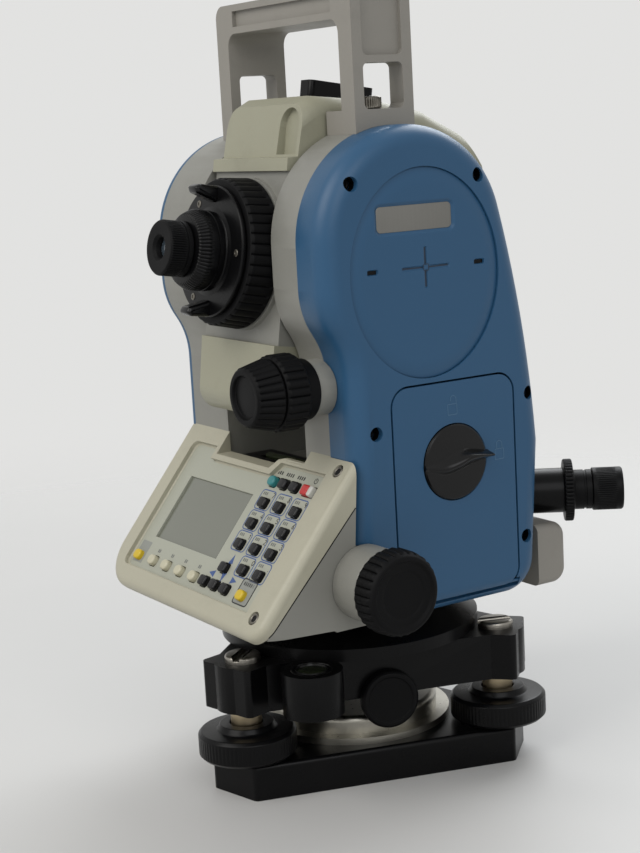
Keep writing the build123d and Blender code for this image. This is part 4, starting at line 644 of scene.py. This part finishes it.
# Eyepiece end of the telescope
MOUNT_SCREW_R = 23.4
TAB_HALF_W, TAB_EDGE_R = 4.2, 1.7


def focus_ring():
    """Grooved focus ring that tapers towards the eye."""
    ring = [
        (20.1, 46.6), (32.3, 46.6, 0.4), (33, 47.3, 0.5), (32.1, 58.9, 0.8), (31.0, 60.2, 0.6), (20.1, 60.2),
    ]
    ribs = Ribs(44, 1.1, 47.5, 59.9, 0.4)
    turned_node("focus_ring", ring, TO_EYE, RUBBER, "focus_ring", 440, ribs)


def eyepiece_mount():
    """Mount plate with a barrel whose shoulder is ribbed, two lever tabs and three screws."""
    plate = [
        (4, 60.6), (28.0, 60.6, 0.3), (28.5, 61.1, 0.3), (28.5, 62.3, 0.4), (28.0, 62.8, 0.3),
        (19.4, 62.9, 0.6), (17.2, 63.6, 0.8), (16.6, 66, 0.6), (4, 66),
    ]
    barrel = [
        (4, 64), (16.9, 64), (17.5, 64.7, 0.4), (17.5, 66.9), (17.1, 67.1), (17.1, 67.6), (17.5, 67.8),
        (17.5, 72.0, 2.8), (15.4, 75.8, 2.2), (12.4, 76.1, 0.4), (8.1, 76.1), (8.1, 69), (4, 69),
    ]
    shells = [turned(plate, TO_EYE), turned(barrel, TO_EYE, 384, Ribs(64, 0.5, 70.4, 76.2, 0.6))]
    piece("eyepiece_mount", shells, SATIN, "telescope", ("eyepiece_mount",))
    lug = soften([
        (20.2, 60.6), (28.2, 60.6), (28.4, 71.2, 2.0), (27.0, 73.8, 1.2), (24.4, 72.8, 1.8),
        (21.8, 64.6, 2.4),
    ])
    tabs = []
    for side in (1, -1):
        upright = np.eye(4)
        upright[:3, :3] = [[0, 0, side], [side, 0, 0], [0, 1, 0]]  # local x outwards, y towards the eye
        tabs.append(slab(lug, -TAB_HALF_W, TAB_HALF_W, TO_EYE @ upright, TAB_EDGE_R, TAB_EDGE_R))
    piece("eyepiece_tabs", tabs, GLOSS_BLACK, "telescope", ("eyepiece_mount",))
    head = [(0, 62.6), (1.6, 62.6), (1.6, 63.1, 0.2), (0.8, 63.2), (0.7, 62.9), (0, 62.9)]
    screws = [turned(head, TO_EYE @ turn("Z", a) @ shift(MOUNT_SCREW_R, 0, 0), 24) for a in (0, 120, 240)]
    piece("mount_screws", screws, SCREW, "telescope")


def eyepiece():
    """Knurled eyepiece with a groove round its foot, a countersunk eye and a lens in it."""
    eye = [
        (4, 69.4), (8, 69.4), (8, 76.4), (11.5, 76.4, 0.3), (12, 76.9, 0.3), (12, 78.8), (11.5, 79.0),
        (11.5, 79.6), (12, 79.8), (12, 86.5, 0.7), (11.2, 87.4, 0.5), (5.8, 87.4, 0.4), (4.6, 86.2, 0.3),
        (4, 84.5),
    ]
    ribs = Ribs(72, 0.4, 79.8, 87.0, 0.6)
    turned_node("eyepiece", eye, TO_EYE, RUBBER, "eyepiece", 432, ribs)
    lens = [(0, 83.6), (3.98, 83.6), (3.98, 84.0), (0, 84.8)]
    piece("eyepiece_lens", [turned(lens, TO_EYE, 48)], GLASS, "eyepiece")


# Optical plummet and handle screws
HANDLE_SCREW_X, HANDLE_SCREW_Y, HANDLE_SCREW_Z = 43.5, -5.0, TRUNNION_Z + 66.1


def plummet():
    """Knurled flange on a stepped focus barrel, and a finely ribbed eyepiece with a countersunk eye."""
    barrel = [
        (7.1, 101.8), (13.9, 101.8, 0.3), (14.3, 102.3, 0.3), (14.3, 105.3, 0.3), (13.9, 105.8, 0.3),
        (9.7, 106.1, 0.4), (9.1, 106.8), (9.1, 110.8), (8.7, 111.0), (8.7, 111.8), (9.1, 112.0), (9.1, 114.3),
        (7.1, 114.3),
    ]
    ribs = Ribs(48, 0.6, 101.9, 105.7, 0.6)
    turned_node("plummet_focus_ring", barrel, PLUMMET, SOFT_BLACK, "plummet_focus", 384, ribs)
    eye = [
        (7.1, 114.7), (9.5, 114.7, 0.3), (9.8, 115.1, 0.2), (9.8, 127.8, 0.6), (9.2, 128.6, 0.4),
        (6.4, 128.6, 0.4), (4.6, 127.0, 0.3), (4.0, 125.6), (4.0, 119.5), (7.1, 119.4),
    ]
    ribs = Ribs(60, 0.3, 116.4, 125.6, 0.7)
    turned_node("plummet_eyepiece", eye, PLUMMET, SOFT_BLACK, "plummet_eyepiece", 360, ribs)


def handle_screws():
    """Knurled heads with a sunk middle, on plain shanks."""
    head = [
        (0, -16), (3, -16), (3, 0), (5.3, 0, 0.3), (5.9, 0.6, 0.3), (5.9, 4.8, 0.4), (5.2, 5.5, 0.4),
        (2.6, 5.5, 0.2), (2.4, 4.9), (0, 4.9),
    ]
    for side, name in ((1, "handle_screw_right"), (-1, "handle_screw_left")):
        place = shift(side * HANDLE_SCREW_X, HANDLE_SCREW_Y, HANDLE_SCREW_Z)
        turned_node(name, head, place, SCREW, name, 256, Ribs(32, 0.4, 0.7, 4.8, 0.7))


# Case screws: five on each side cover and two beside the display
CASE_SCREWS = ((49, 106.2), (-29, 163.2), (53, 170.2), (-35.3, 266.7), (29.3, 266.7))  # Y and Z
PANEL_SCREWS = ((64, 53.5), (64, -17))  # on the key face
RIGHT_HEAD_X, LEFT_HEAD_X, PANEL_HEAD = 67.5, -69.5, 2.0  # tops of the screw heads
SOCKET_R, SOCKET_LOW, SOCKET_FACE = 1.75, -0.2, 0.08


def screw_sockets():
    """Chamfered rims on screw heads, and painted shade: black six-sided sockets and black right-cover
    sleeves.

    Rims and sleeves are turned profiles, a socket is a thin slab on six points of a circle.
    """
    right = [shift(RIGHT_HEAD_X, y, z) @ turn("Y", 90) for y, z in CASE_SCREWS]
    others = [shift(LEFT_HEAD_X, y, z) @ turn("Y", -90) for y, z in CASE_SCREWS]
    others += [FACE @ shift(u, v, PANEL_HEAD) for u, v in PANEL_SCREWS]
    rim = [(1.5, -0.3), (2.5, -0.3), (2.5, 0.2, 0.15), (2.2, 0.45, 0.15), (1.8, 0.45, 0.1), (1.5, 0.2)]
    # black tube down each right cover screw hole: painted shade of the deep hole
    sleeve = [(2.75, 0.2), (3.06, 0.2), (3.06, 3.2), (2.75, 3.2)]
    corners = np.arange(6) * pi / 3
    socket = np.stack([SOCKET_R * np.cos(corners), SOCKET_R * np.sin(corners)], -1)
    bright = [turned(rim, head, 36) for head in others]
    piece("case_screw_rims", bright, SCREW, "alidade")
    # flat black hexagons: painted shade of the sockets' hollows
    dark = [slab(socket, SOCKET_LOW, SOCKET_FACE, head) for head in right + others]
    dark += [turned(shape, head, 36) for head in right for shape in (rim, sleeve)]
    piece("case_screw_black_rims_and_shade", dark, SATIN, "alidade")


# Battery door: twist knob and padlock marks
DOOR_KNOB = shift(OUTER_X, 11, ALIDADE_Z + 62.6) @ turn("Y", 90)  # local x down, y to the rear, z outwards
LATCH_W, LATCH_H, LATCH_R, LATCH_LOW, LATCH_TOP = 6, 15, 1, -5.9, -4.3
GRIP_START, GRIP_LENGTH, GRIP_POWER = -16.4, 33.6, 1.6  # the last shapes its flanks
GRIP_SEAT, GRIP_UNDER = 0.9, 0.3  # heights of the grip's edge and of its underside
GRIP_STATIONS, GRIP_ROUND, GRIP_SMOOTH = 60, 25, 9  # stations along, points across, stations averaged
LOCKS = ((10.5, 168.5, 1), (35.0, 145.5, 0))  # Y, Z, and 1 for the open one
LOCK_W, LOCK_H, LOCK_R, LOCK_LINE, LOCK_PROUD = 4.8, 4.6, 0.3, 0.3, 0.12
BOW_R, BOW_RISE, BOW_SHIFT, BOW_LIFT = 1.5, 4.4, 0.6, 1.3  # the last two for the open bow and its free leg


def battery_knob():
    """Round disc with a wavy thumb grip that swells towards its raised tip.

    The grip is a ridge over stations along the diameter: at each station the crest sits to one side by the
    wave, the ridge falls from it by a power of a cosine over its two flanks, and a flat underside closes it.
    """
    disc = [
        (0, -4.4), (4, -4.4), (4, -2.1), (15.9, -2.1, 0.3), (16.5, -1.6), (16.5, 0.3, 0.5), (15.8, 1.0, 0.5),
        (0, 1.05),
    ]
    latch = slab(box_outline(0, 0, LATCH_W, LATCH_H, LATCH_R), LATCH_LOW, LATCH_TOP, DOOR_KNOB)
    s = np.linspace(0, 1, GRIP_STATIONS)
    knots = [0, 0.14, 0.3, 0.48, 0.62, 0.78, 1.0]
    courses = (
        [0.4, 1.4, 2.2, 0.2, -2.0, -2.2, -1.2],  # wave of the crest
        [0.5, 1.4, 2.8, 4.4, 5.2, 5.3, 5.0],  # height
        [1.0, 2.2, 4.6, 5.0, 3.8, 2.4, 1.6],  # width of the upper flank
        [1.0, 2.4, 3.2, 4.4, 5.2, 4.0, 1.6],  # width of the lower flank
    )
    even = np.ones(GRIP_SMOOTH) / GRIP_SMOOTH
    padded = [np.pad(np.interp(s, knots, course), GRIP_SMOOTH // 2, mode="edge") for course in courses]
    wave, height, upper, lower = (np.convolve(course, even, "valid")[:, None] for course in padded)
    t = np.linspace(-1, 1, GRIP_ROUND)[None]
    across = wave + np.where(t < 0, upper, lower) * t
    along = GRIP_START + GRIP_LENGTH * s[:, None] + 0 * t
    ridge = np.stack([across, along, GRIP_SEAT + height * np.cos(pi * t / 2) ** GRIP_POWER], -1)
    under = ridge[:, [-1, 0]] * (1, 1, 0) + (0, 0, GRIP_UNDER)
    grip = np.concatenate([ridge, under], 1)
    shells = [turned(disc, DOOR_KNOB), latch, (move(grip, DOOR_KNOB), *capped(*grip.shape[:2]))]
    piece("battery_knob", shells, GLOSS_BLACK, "battery_knob", ("battery_knob",), crease=50)


def door_marks():
    """Raised outlines of an open and a closed padlock: a box each, and half a circle on two legs."""
    half = np.linspace(0, pi, 16)
    shells = []
    for y, z, opened in LOCKS:
        body = box_outline(y, z, LOCK_W, LOCK_H, LOCK_R)
        bow_y, bow_z = y + BOW_SHIFT * opened, z + BOW_RISE
        arc = np.stack([bow_y + BOW_R * np.cos(half), bow_z + BOW_R * np.sin(half)], -1)
        near_foot = (arc[0, 0], z + LOCK_H / 2)
        far_foot = (arc[-1, 0], z + LOCK_H / 2 + BOW_LIFT * opened)
        shackle = np.concatenate([[near_foot], arc, [far_foot]])
        shells.append(stroke(body, LOCK_LINE, LOCK_PROUD, BATTERY_SIDE, True))
        shells.append(stroke(shackle, LOCK_LINE, LOCK_PROUD, BATTERY_SIDE))
    piece("door_marks", shells, BLUE_MARK, "battery_door")


# Oval plates on the side covers; boxes are (middle across, middle up, width, height)
OVAL_W, OVAL_H, OVAL_T, OVAL_Z = 38.0, 44.0, 1.6, TRUNNION_Z - 2.5
OVAL_RIM, OVAL_FALL = 6.3, 1.0  # width of the plate's rounded rim and how far it falls
LABEL_MID, LABEL_Z, LABEL_W, LABEL_H = -4.5, TRUNNION_Z + 21, 38.2, 10.8
LABEL_LOW, LABEL_FACE, LABEL_R, LABEL_EDGE_R, SEAT_GAP = -1.3, -0.72, 2, 0.2, 1.4
LABEL_SINK, HAIR_SINK, SLOT_SINK = 0.9, 0.6, 1.3  # depths of the seat, the hairs and the slots
SEAT_R, HAIR_R, SLOT_R = 2.6, 0.3, 0.5  # their corners
SEAT_WALL, HAIR_WALL, SLOT_WALL = 1.5, 0.5, 0.45  # widths of their sloping walls
MIDDLE_W, MIDDLE_R, MIDDLE_LINE, MIDDLE_PROUD = 2.6, 0.4, 0.35, 0.04  # small square in the cross
RIGHT_CELLS, LEFT_CELLS = 250, 140  # points along the sides of the two plates' grids
HAIR_BOXES = ((-6.6, 0, 10.8, 1.3), (6.6, 0, 10.8, 1.3), (0, 4.85, 1.3, 7.3), (0, -4.85, 1.3, 7.3))
SLOT_BOXES = ((-27, 0, 5.0, 1.9), (28, 0, 5.0, 1.9))
HAIRS = [(u, v + TRUNNION_Z, w, h) for u, v, w, h in HAIR_BOXES]
SLOTS = [(u, v + TRUNNION_Z, w, h) for u, v, w, h in SLOT_BOXES]
HAIR_MARGIN, SLOT_MARGIN, HAIR_LINING_R = 0.4, 0.2, 0.2
# the hair and slot linings are painted shade on the floors of the sunk grooves and slots
LINING_LOW, HAIR_LINING, SLOT_LINING = -0.2, 0.03, 0.3  # heights over the floors of the hairs and slots
Sink = namedtuple("Sink", "box radius depth wall")


def sunk_box(x, y, sink):
    """1 inside a rounded box and 0 outside: the distance to its edge, through an S curve over the wall."""
    u, v, width, height = sink.box
    over_u = np.abs(x - u) - width / 2 + sink.radius
    over_v = np.abs(y - v) - height / 2 + sink.radius
    outside = np.hypot(np.maximum(over_u, 0), np.maximum(over_v, 0))
    past = outside + np.minimum(np.maximum(over_u, over_v), 0) - sink.radius
    t = np.clip(0.5 - past / sink.wall, 0, 1)
    return t * t * (3 - 2 * t)


def oval_plate(place, cells, sinks):
    """Oval plate with a rounded rim and sunk seats.

    A square's parameters s, t become s * sqrt(1 - t^2 / 2) across and t * sqrt(1 - s^2 / 2) up the oval.
    Height is a quarter sine over the rim, less each sink's depth times its box; a skirt and a fan close it
    underneath.
    """
    line = np.linspace(-1, 1, cells)
    s, t = np.meshgrid(line, line, indexing="ij")
    x, y = OVAL_W * s * np.sqrt(1 - t**2 / 2), OVAL_Z + OVAL_H * t * np.sqrt(1 - s**2 / 2)
    inside = np.clip((1 - np.hypot(x / OVAL_W, (y - OVAL_Z) / OVAL_H)) * OVAL_W / OVAL_RIM, 0, 1)
    height = OVAL_FALL * (np.sin(inside * pi / 2) - 1)
    for sink in sinks:
        height = height - sink.depth * sunk_box(x, y, sink)
    top = np.stack([x, y, height], -1)
    rim = np.concatenate([top[0, :-1], top[:-1, -1], top[-1, :0:-1], top[:0:-1, 0]])
    foot = rim * (1, 1, 0) + (0, 0, -OVAL_T)
    under = np.stack([rim, foot, np.broadcast_to([0, OVAL_Z, -OVAL_T], rim.shape)])
    upper = move(top, place), quads(cells, cells, wrap_cols=False)
    return [upper, (move(under, place), quads(3, len(rim)))]


def label_seat(mid):
    """Sink that a label lies in, a little larger all round."""
    return Sink((mid, LABEL_Z, LABEL_W + SEAT_GAP, LABEL_H + SEAT_GAP), SEAT_R, LABEL_SINK, SEAT_WALL)


def oval_covers():
    """Oval plates with a bare label in its seat, and on the battery side sunk cross hairs and two slots."""
    sinks = [label_seat(LABEL_MID)]
    sinks += [Sink(box, HAIR_R, HAIR_SINK, HAIR_WALL) for box in HAIRS]
    sinks += [Sink(box, SLOT_R, SLOT_SINK, SLOT_WALL) for box in SLOTS]
    shells = oval_plate(BATTERY_SIDE, RIGHT_CELLS, sinks)
    shells += oval_plate(PLAIN_SIDE, LEFT_CELLS, [label_seat(-LABEL_MID)])
    piece("oval_covers", shells, BLUE, "alidade", ("oval_covers",))
    # darker blue linings on the hair floors and the middle square: painted shade in the grooves
    floor = BATTERY_SIDE @ shift(0, 0, -HAIR_SINK)
    outlines = [box_outline(u, v, w - HAIR_MARGIN, h - HAIR_MARGIN, HAIR_LINING_R) for u, v, w, h in HAIRS]
    lines = [slab(outline, LINING_LOW, HAIR_LINING, floor) for outline in outlines]
    middle = box_outline(0, TRUNNION_Z, MIDDLE_W, MIDDLE_W, MIDDLE_R)
    lines.append(stroke(middle, MIDDLE_LINE, MIDDLE_PROUD, BATTERY_SIDE, True))
    piece("cross_hair_shade", lines, BLUE_GROOVE_SHADE, "alidade")
    # black linings on the slot floors: painted shade in the deep slots
    floor = BATTERY_SIDE @ shift(0, 0, -SLOT_SINK)
    outlines = [box_outline(u, v, w - SLOT_MARGIN, h - SLOT_MARGIN, SLOT_R) for u, v, w, h in SLOTS]
    slots = [slab(outline, LINING_LOW, SLOT_LINING, floor) for outline in outlines]
    piece("oval_slot_shade", slots, SATIN, "alidade")
    sides = ("label_right", BATTERY_SIDE, LABEL_MID), ("label_left", PLAIN_SIDE, -LABEL_MID)
    for name, place, mid in sides:
        outline = box_outline(mid, LABEL_Z, LABEL_W, LABEL_H, LABEL_R)
        label = slab(outline, LABEL_LOW, LABEL_FACE, place, LABEL_EDGE_R)
        piece(name, [label], LABEL, "alidade")


# Keyboard: middles of the keys on the key face, across and up
TOP_ROW, LOW_ROW = 42.1, -10.0
SINGLE_KEYS = {
    "key_mode": (20.3, TOP_ROW), "key_menu": (29.2, TOP_ROW), "key_light": (38.2, TOP_ROW),
    "key_power": (49.0, TOP_ROW), "key_enter": (44.2, LOW_ROW), "key_escape": (-51.2, LOW_ROW),
    "key_up": (21.0, -1.4), "key_left": (11.8, LOW_ROW), "key_down": (21.0, LOW_ROW),
    "key_right": (30.2, LOW_ROW),
}
SOFT_KEYS = {f"key_soft_{i + 1}": (-36.9 + 12.87 * i, LOW_ROW) for i in range(4)}
NUMBER_KEYS = [(22.2 + 13.1 * c, 31.5 - 10.35 * r) for r in range(4) for c in range(3) if (r, c) != (3, 0)]
KEY_W, KEY_H, KEY_LOW, KEY_TOP, KEY_EDGE_R = 5.6, 4.8, -3.5, 2.4, 0.9
KEY_LOOKS = {  # slot and corner radius of the keys that aren't plain
    "key_mode": ("teal_key", 2.2), "key_power": ("red_key", 1.0), "key_enter": ("yellow_key", 1.9),
    "key_escape": ("yellow_key", 1.9),
}
SOFT_LOOK, PLAIN_LOOK = ("cream_key", 2.1), ("black_key", 1.1)
SLOT_PAINT = {
    "teal_key": TEAL, "red_key": RED, "yellow_key": YELLOW, "cream_key": CREAM, "black_key": KEY_BLACK,
}
POWER_RED_U, POWER_RED_W = -1.4, 5.2  # red part of the power key: middle from the key's own, width
POWER_END_U, POWER_END_W, POWER_END_R = 2.65, 2.7, 0.9  # its pale part


def key_cap(u, v, radius, width=KEY_W):
    """Cap with a rounded top edge on an outline with rounded corners."""
    return slab(box_outline(u, v, width, KEY_H, radius), KEY_LOW, KEY_TOP, FACE, top_r=KEY_EDGE_R)


def keys():
    """Caps of all the keys; the power key is red with a pale right part."""
    for name, (u, v) in {**SINGLE_KEYS, **SOFT_KEYS}.items():
        slot, radius = KEY_LOOKS.get(name, SOFT_LOOK if "soft" in name else PLAIN_LOOK)
        cap = key_cap(u, v, radius)
        if name == "key_power":
            cap = key_cap(u + POWER_RED_U, v, radius, POWER_RED_W)
        piece(name, [cap], SLOT_PAINT[slot], name, (name,))
    u, v = SINGLE_KEYS["key_power"]
    end = key_cap(u + POWER_END_U, v, POWER_END_R, POWER_END_W)
    piece("power_key_end", [end], WHITE, "key_power")
    caps = [key_cap(u, v, PLAIN_LOOK[1]) for u, v in NUMBER_KEYS]
    piece("number_keys", caps, KEY_BLACK, "alidade", ("number_keys",))


# Prints on the key face
PRINT = 0.05  # thickness of a print
DIGIT_SIZE, DIGIT_LINE = 0.8, 0.42
DIGITS = {
    "7": [(0, 3), (2, 3), (0.8, 0)],
    "8": [(1, 1.6), (0.1, 2.4), (1, 3), (1.9, 2.4), (1, 1.6), (0, 0.7), (1, 0), (2, 0.7), (1, 1.6)],
    "9": [(1.9, 2.2), (1, 1.4), (0.1, 2.2), (1, 3), (1.9, 2.2), (1.4, 0)],
    "4": [(1.5, 0), (1.5, 3), (0, 1), (2.1, 1)],
    "5": [(1.9, 3), (0.2, 3), (0.1, 1.7), (1.4, 1.8), (1.9, 0.9), (1.2, 0), (0, 0.3)],
    "6": [(1.6, 3), (0.3, 1.4), (0.2, 0.6), (1, 0), (1.8, 0.7), (1, 1.5), (0.3, 1.1)],
    "1": [(0.3, 2.3), (1, 3), (1, 0)],
    "2": [(0.1, 2.4), (1, 3), (1.9, 2.3), (0, 0), (2, 0)],
    "3": [(0.1, 2.7), (1, 3), (1.8, 2.3), (0.9, 1.6), (1.9, 0.8), (1, 0), (0, 0.4)],
    "0": [(1, 0), (0.1, 1), (0.1, 2), (1, 3), (1.9, 2), (1.9, 1), (1, 0)],
    ".": [(0.8, 0.1), (1.2, 0.1)],
}
ARROWS = {"key_up": 90, "key_left": 180, "key_down": 270, "key_right": 0}  # degrees that each points to
ARROW_R, ARROW_CORNERS = 2.6, np.array([0, 140, 220])  # and degrees of its corners from its point
POWER_SIGN_R, POWER_SIGN_LINE, POWER_SIGN_ARC = 1.2, 0.35, (120, 420)  # the arc in degrees
FRAME_LINE, ENTER_LINE, MARK_R = 0.5, 0.55, 0.2
PLATE_SHADOWS = ([(21.5, 50.3), (56.4, 50.3)], [(-26, -15.8), (56, -15.8)])  # dark lines at the plate's edges

# Places of prints, across and up from the middle of their key
DIGIT_AT, ARROW_AT, POWER_SIGN_AT = (2.6, 3.2), (1.6, 4.7), (0.6, 5.4)
POWER_BAR = np.array([(0, -0.1), (0, 1.6)])
KeyBox = namedtuple("KeyBox", "across up width height radius")
NUMBER_FRAME, ENTER_FRAME = KeyBox(-0.85, 1.6, 11.2, 9.5, 1.8), KeyBox(0.3, 2.0, 11.4, 11.6, 1.4)
ESCAPE_FIELD, ENTER_FIELD = KeyBox(0, 2.2, 8.6, 11, 0.2), KeyBox(0.3, 2.0, 10.8, 11, 0.2)
Legend = namedtuple("Legend", "across up count pitch width height")
TOP_LEGEND, ENTER_LEGEND = Legend(-2.4, 5.0, 4, 1.6, 0.9, 1.7), Legend(-3.2, 5.6, 6, 1.4, 0.8, 1.7)
SOFT_LEGEND, NUMBER_LEGEND = Legend(-0.8, 5.2, 2, 1.3, 0.8, 1.7), Legend(-4.6, 4.6, 3, 1.3, 0.8, 1.5)


def key_box(key, box):
    """Outline of a frame, a field or a mark, placed from the middle of its key."""
    u, v = key
    return box_outline(u + box.across, v + box.up, box.width, box.height, box.radius)


def bars(key, legend):
    """A row of short printed marks that stands for a legend."""
    across = [legend.across + legend.pitch * i for i in range(legend.count)]
    marks = [KeyBox(place, legend.up, legend.width, legend.height, MARK_R) for place in across]
    return [slab(key_box(key, mark), 0, PRINT, FACE) for mark in marks]


def blue_prints():
    """Frames round the number keys, and arrows by the arrow keys: triangles on three points of a circle."""
    frames = [stroke(key_box(key, NUMBER_FRAME), FRAME_LINE, PRINT, FACE, True) for key in NUMBER_KEYS]
    piece("number_frames", frames, BLUE_INK, "alidade")
    arrows = []
    for name, way in ARROWS.items():
        a = np.radians(way + ARROW_CORNERS)
        corners = ARROW_R * np.stack([np.cos(a), np.sin(a)], -1) + SINGLE_KEYS[name] + ARROW_AT
        arrows.append(slab(corners, 0, PRINT, FACE))
    piece("arrow_marks", arrows, BLUE_INK, "alidade")


def black_prints():
    """Digits, top-row legends, the power sign, the enter key's frame and painted shadows along the plate's
    edges.
    """
    ink_and_shadow = []
    for digit, key in zip("7894561230.", NUMBER_KEYS):
        line = np.array(DIGITS[digit]) * DIGIT_SIZE + key + DIGIT_AT
        ink_and_shadow.append(stroke(line, DIGIT_LINE, PRINT, FACE))
    for name in ("key_mode", "key_menu", "key_light"):
        ink_and_shadow += bars(SINGLE_KEYS[name], TOP_LEGEND)
    a = np.radians(np.linspace(*POWER_SIGN_ARC, 24))
    ring = POWER_SIGN_R * np.stack([np.cos(a), np.sin(a)], -1)
    for line in (ring, POWER_BAR):
        sign = line + SINGLE_KEYS["key_power"] + POWER_SIGN_AT
        ink_and_shadow.append(stroke(sign, POWER_SIGN_LINE, PRINT, FACE))
    enter = SINGLE_KEYS["key_enter"]
    ink_and_shadow.append(stroke(key_box(enter, ENTER_FRAME), ENTER_LINE, PRINT * 2, FACE, True))
    ink_and_shadow += bars(enter, ENTER_LEGEND)
    # painted shadow lines along the key plate's edges, in the black print colour
    ink_and_shadow += [stroke(line, FRAME_LINE, PRINT, FACE) for line in PLATE_SHADOWS]
    piece("key_legends_and_edge_shadows", ink_and_shadow, INK_AND_SHADOW, "alidade")


def grey_prints():
    """Grey legends over the soft and number keys, and grey fields behind the yellow keys."""
    grey = []
    for legend, group in ((SOFT_LEGEND, SOFT_KEYS.values()), (NUMBER_LEGEND, NUMBER_KEYS)):
        for key in group:
            grey += bars(key, legend)
    piece("grey_legends", grey, GREY_INK, "alidade")
    fields = [
        slab(key_box(SINGLE_KEYS[name], field), 0, PRINT, FACE)
        for name, field in (("key_escape", ESCAPE_FIELD), ("key_enter", ENTER_FIELD))
    ]
    piece("key_fields", fields, FIELD, "alidade")


# Keyboard housing and the plate level behind it
PLATE_CORNERS = (  # outline of the key plate, with corner radii
    (-58, -16, 4), (57, -16, 2), (57, 50.5, 2), (21, 50.5, 2.5), (17, 44, 2.5), (-36, 44, 3), (-36, 50.5, 3),
    (-58, 50.5, 4),
)
BEZEL_START, BEZEL_RUN, BEZEL_LOW, BEZEL_RISE, BEZEL_STEPS = -0.5, 2.9, 0.03, 2.5, 9
SEAM_FOOT, SEAM_HEAD = np.array((-86.0, ALIDADE_Z + 4)), np.array((-41.3, ALIDADE_Z + 51.1))  # along Y and Z
SEAM_W, SEAM_PROUD, SEAM_STEPS = 0.5, 0.05, 60
PANEL_BOTTOM, PANEL_RIGHT_R, PANEL_LEFT_R = -26.0, 9.0, 20.0  # lower edge on the key face and its corners
VIAL_MIDDLE = shift(0, -26, 141.1) @ turn("Y", 90)


def panel_bezel():
    """Soft slope from the key plate to the rim: the plate's outline moves out as it rises in an S curve."""
    plate = soften(PLATE_CORNERS)
    s = np.linspace(0, 1, BEZEL_STEPS)
    out, rise = BEZEL_START + BEZEL_RUN * s, BEZEL_LOW + BEZEL_RISE * (3 * s**2 - 2 * s**3)
    slope = move(rings(plate, -out, rise), FACE), quads(len(s), len(plate))
    piece("panel_bezel", [slope], BEIGE, "alidade")


def panel_seam():
    """Dark joint line of the keyboard housing on both sides.

    A stroke from foot to head; within the housing's rounded lower corner of radius r, a height h short of the
    straight side draws it in by r - sqrt(r^2 - h^2).
    """
    share = np.linspace(0, 1, SEAM_STEPS)[:, None]
    line = SEAM_FOOT * (1 - share) + SEAM_HEAD * share
    shells = []
    for place, way, corner in ((BATTERY_SIDE, 1, PANEL_RIGHT_R), (PLAIN_SIDE, -1, PANEL_LEFT_R)):
        points, *faces = stroke(line * (way, 1), SEAM_W, SEAM_PROUD, place)
        up = (points - FACE[:3, 3]) @ FACE[:3, 1]
        short = np.clip(corner - (up - PANEL_BOTTOM), 0, corner)
        points[..., 0] -= way * (corner - np.sqrt(corner**2 - short**2))
        shells.append((points, *faces))
    piece("panel_seam", shells, SATIN, "alidade")


def plate_level():
    """Glass vial lying in the slot of its case."""
    tube = [(0, -21.6), (1.6, -21.6, 0.6), (2.0, -20.6), (2.0, 20.6), (1.6, 21.6, 0.6), (0, 21.6)]
    piece("level_vial", [turned(tube, VIAL_MIDDLE, 32)], VIAL, "alidade")


for foot in FOOTSCREWS:
    footscrew(foot)
foot_bushes()
circular_level()
tribrach_clamp()
vertical_knobs()
horizontal_knobs()
focus_ring()
eyepiece_mount()
eyepiece()
plummet()
handle_screws()
screw_sockets()
battery_knob()
door_marks()
oval_covers()
keys()
blue_prints()
black_prints()
grey_prints()
panel_bezel()
panel_seam()
plate_level()
for solid, width in EASED.items():
    ease(solid, width)

photo_camera()
pale_floor()
lamps()
pale_room()
bpy.context.scene.view_settings.view_transform = "Standard"
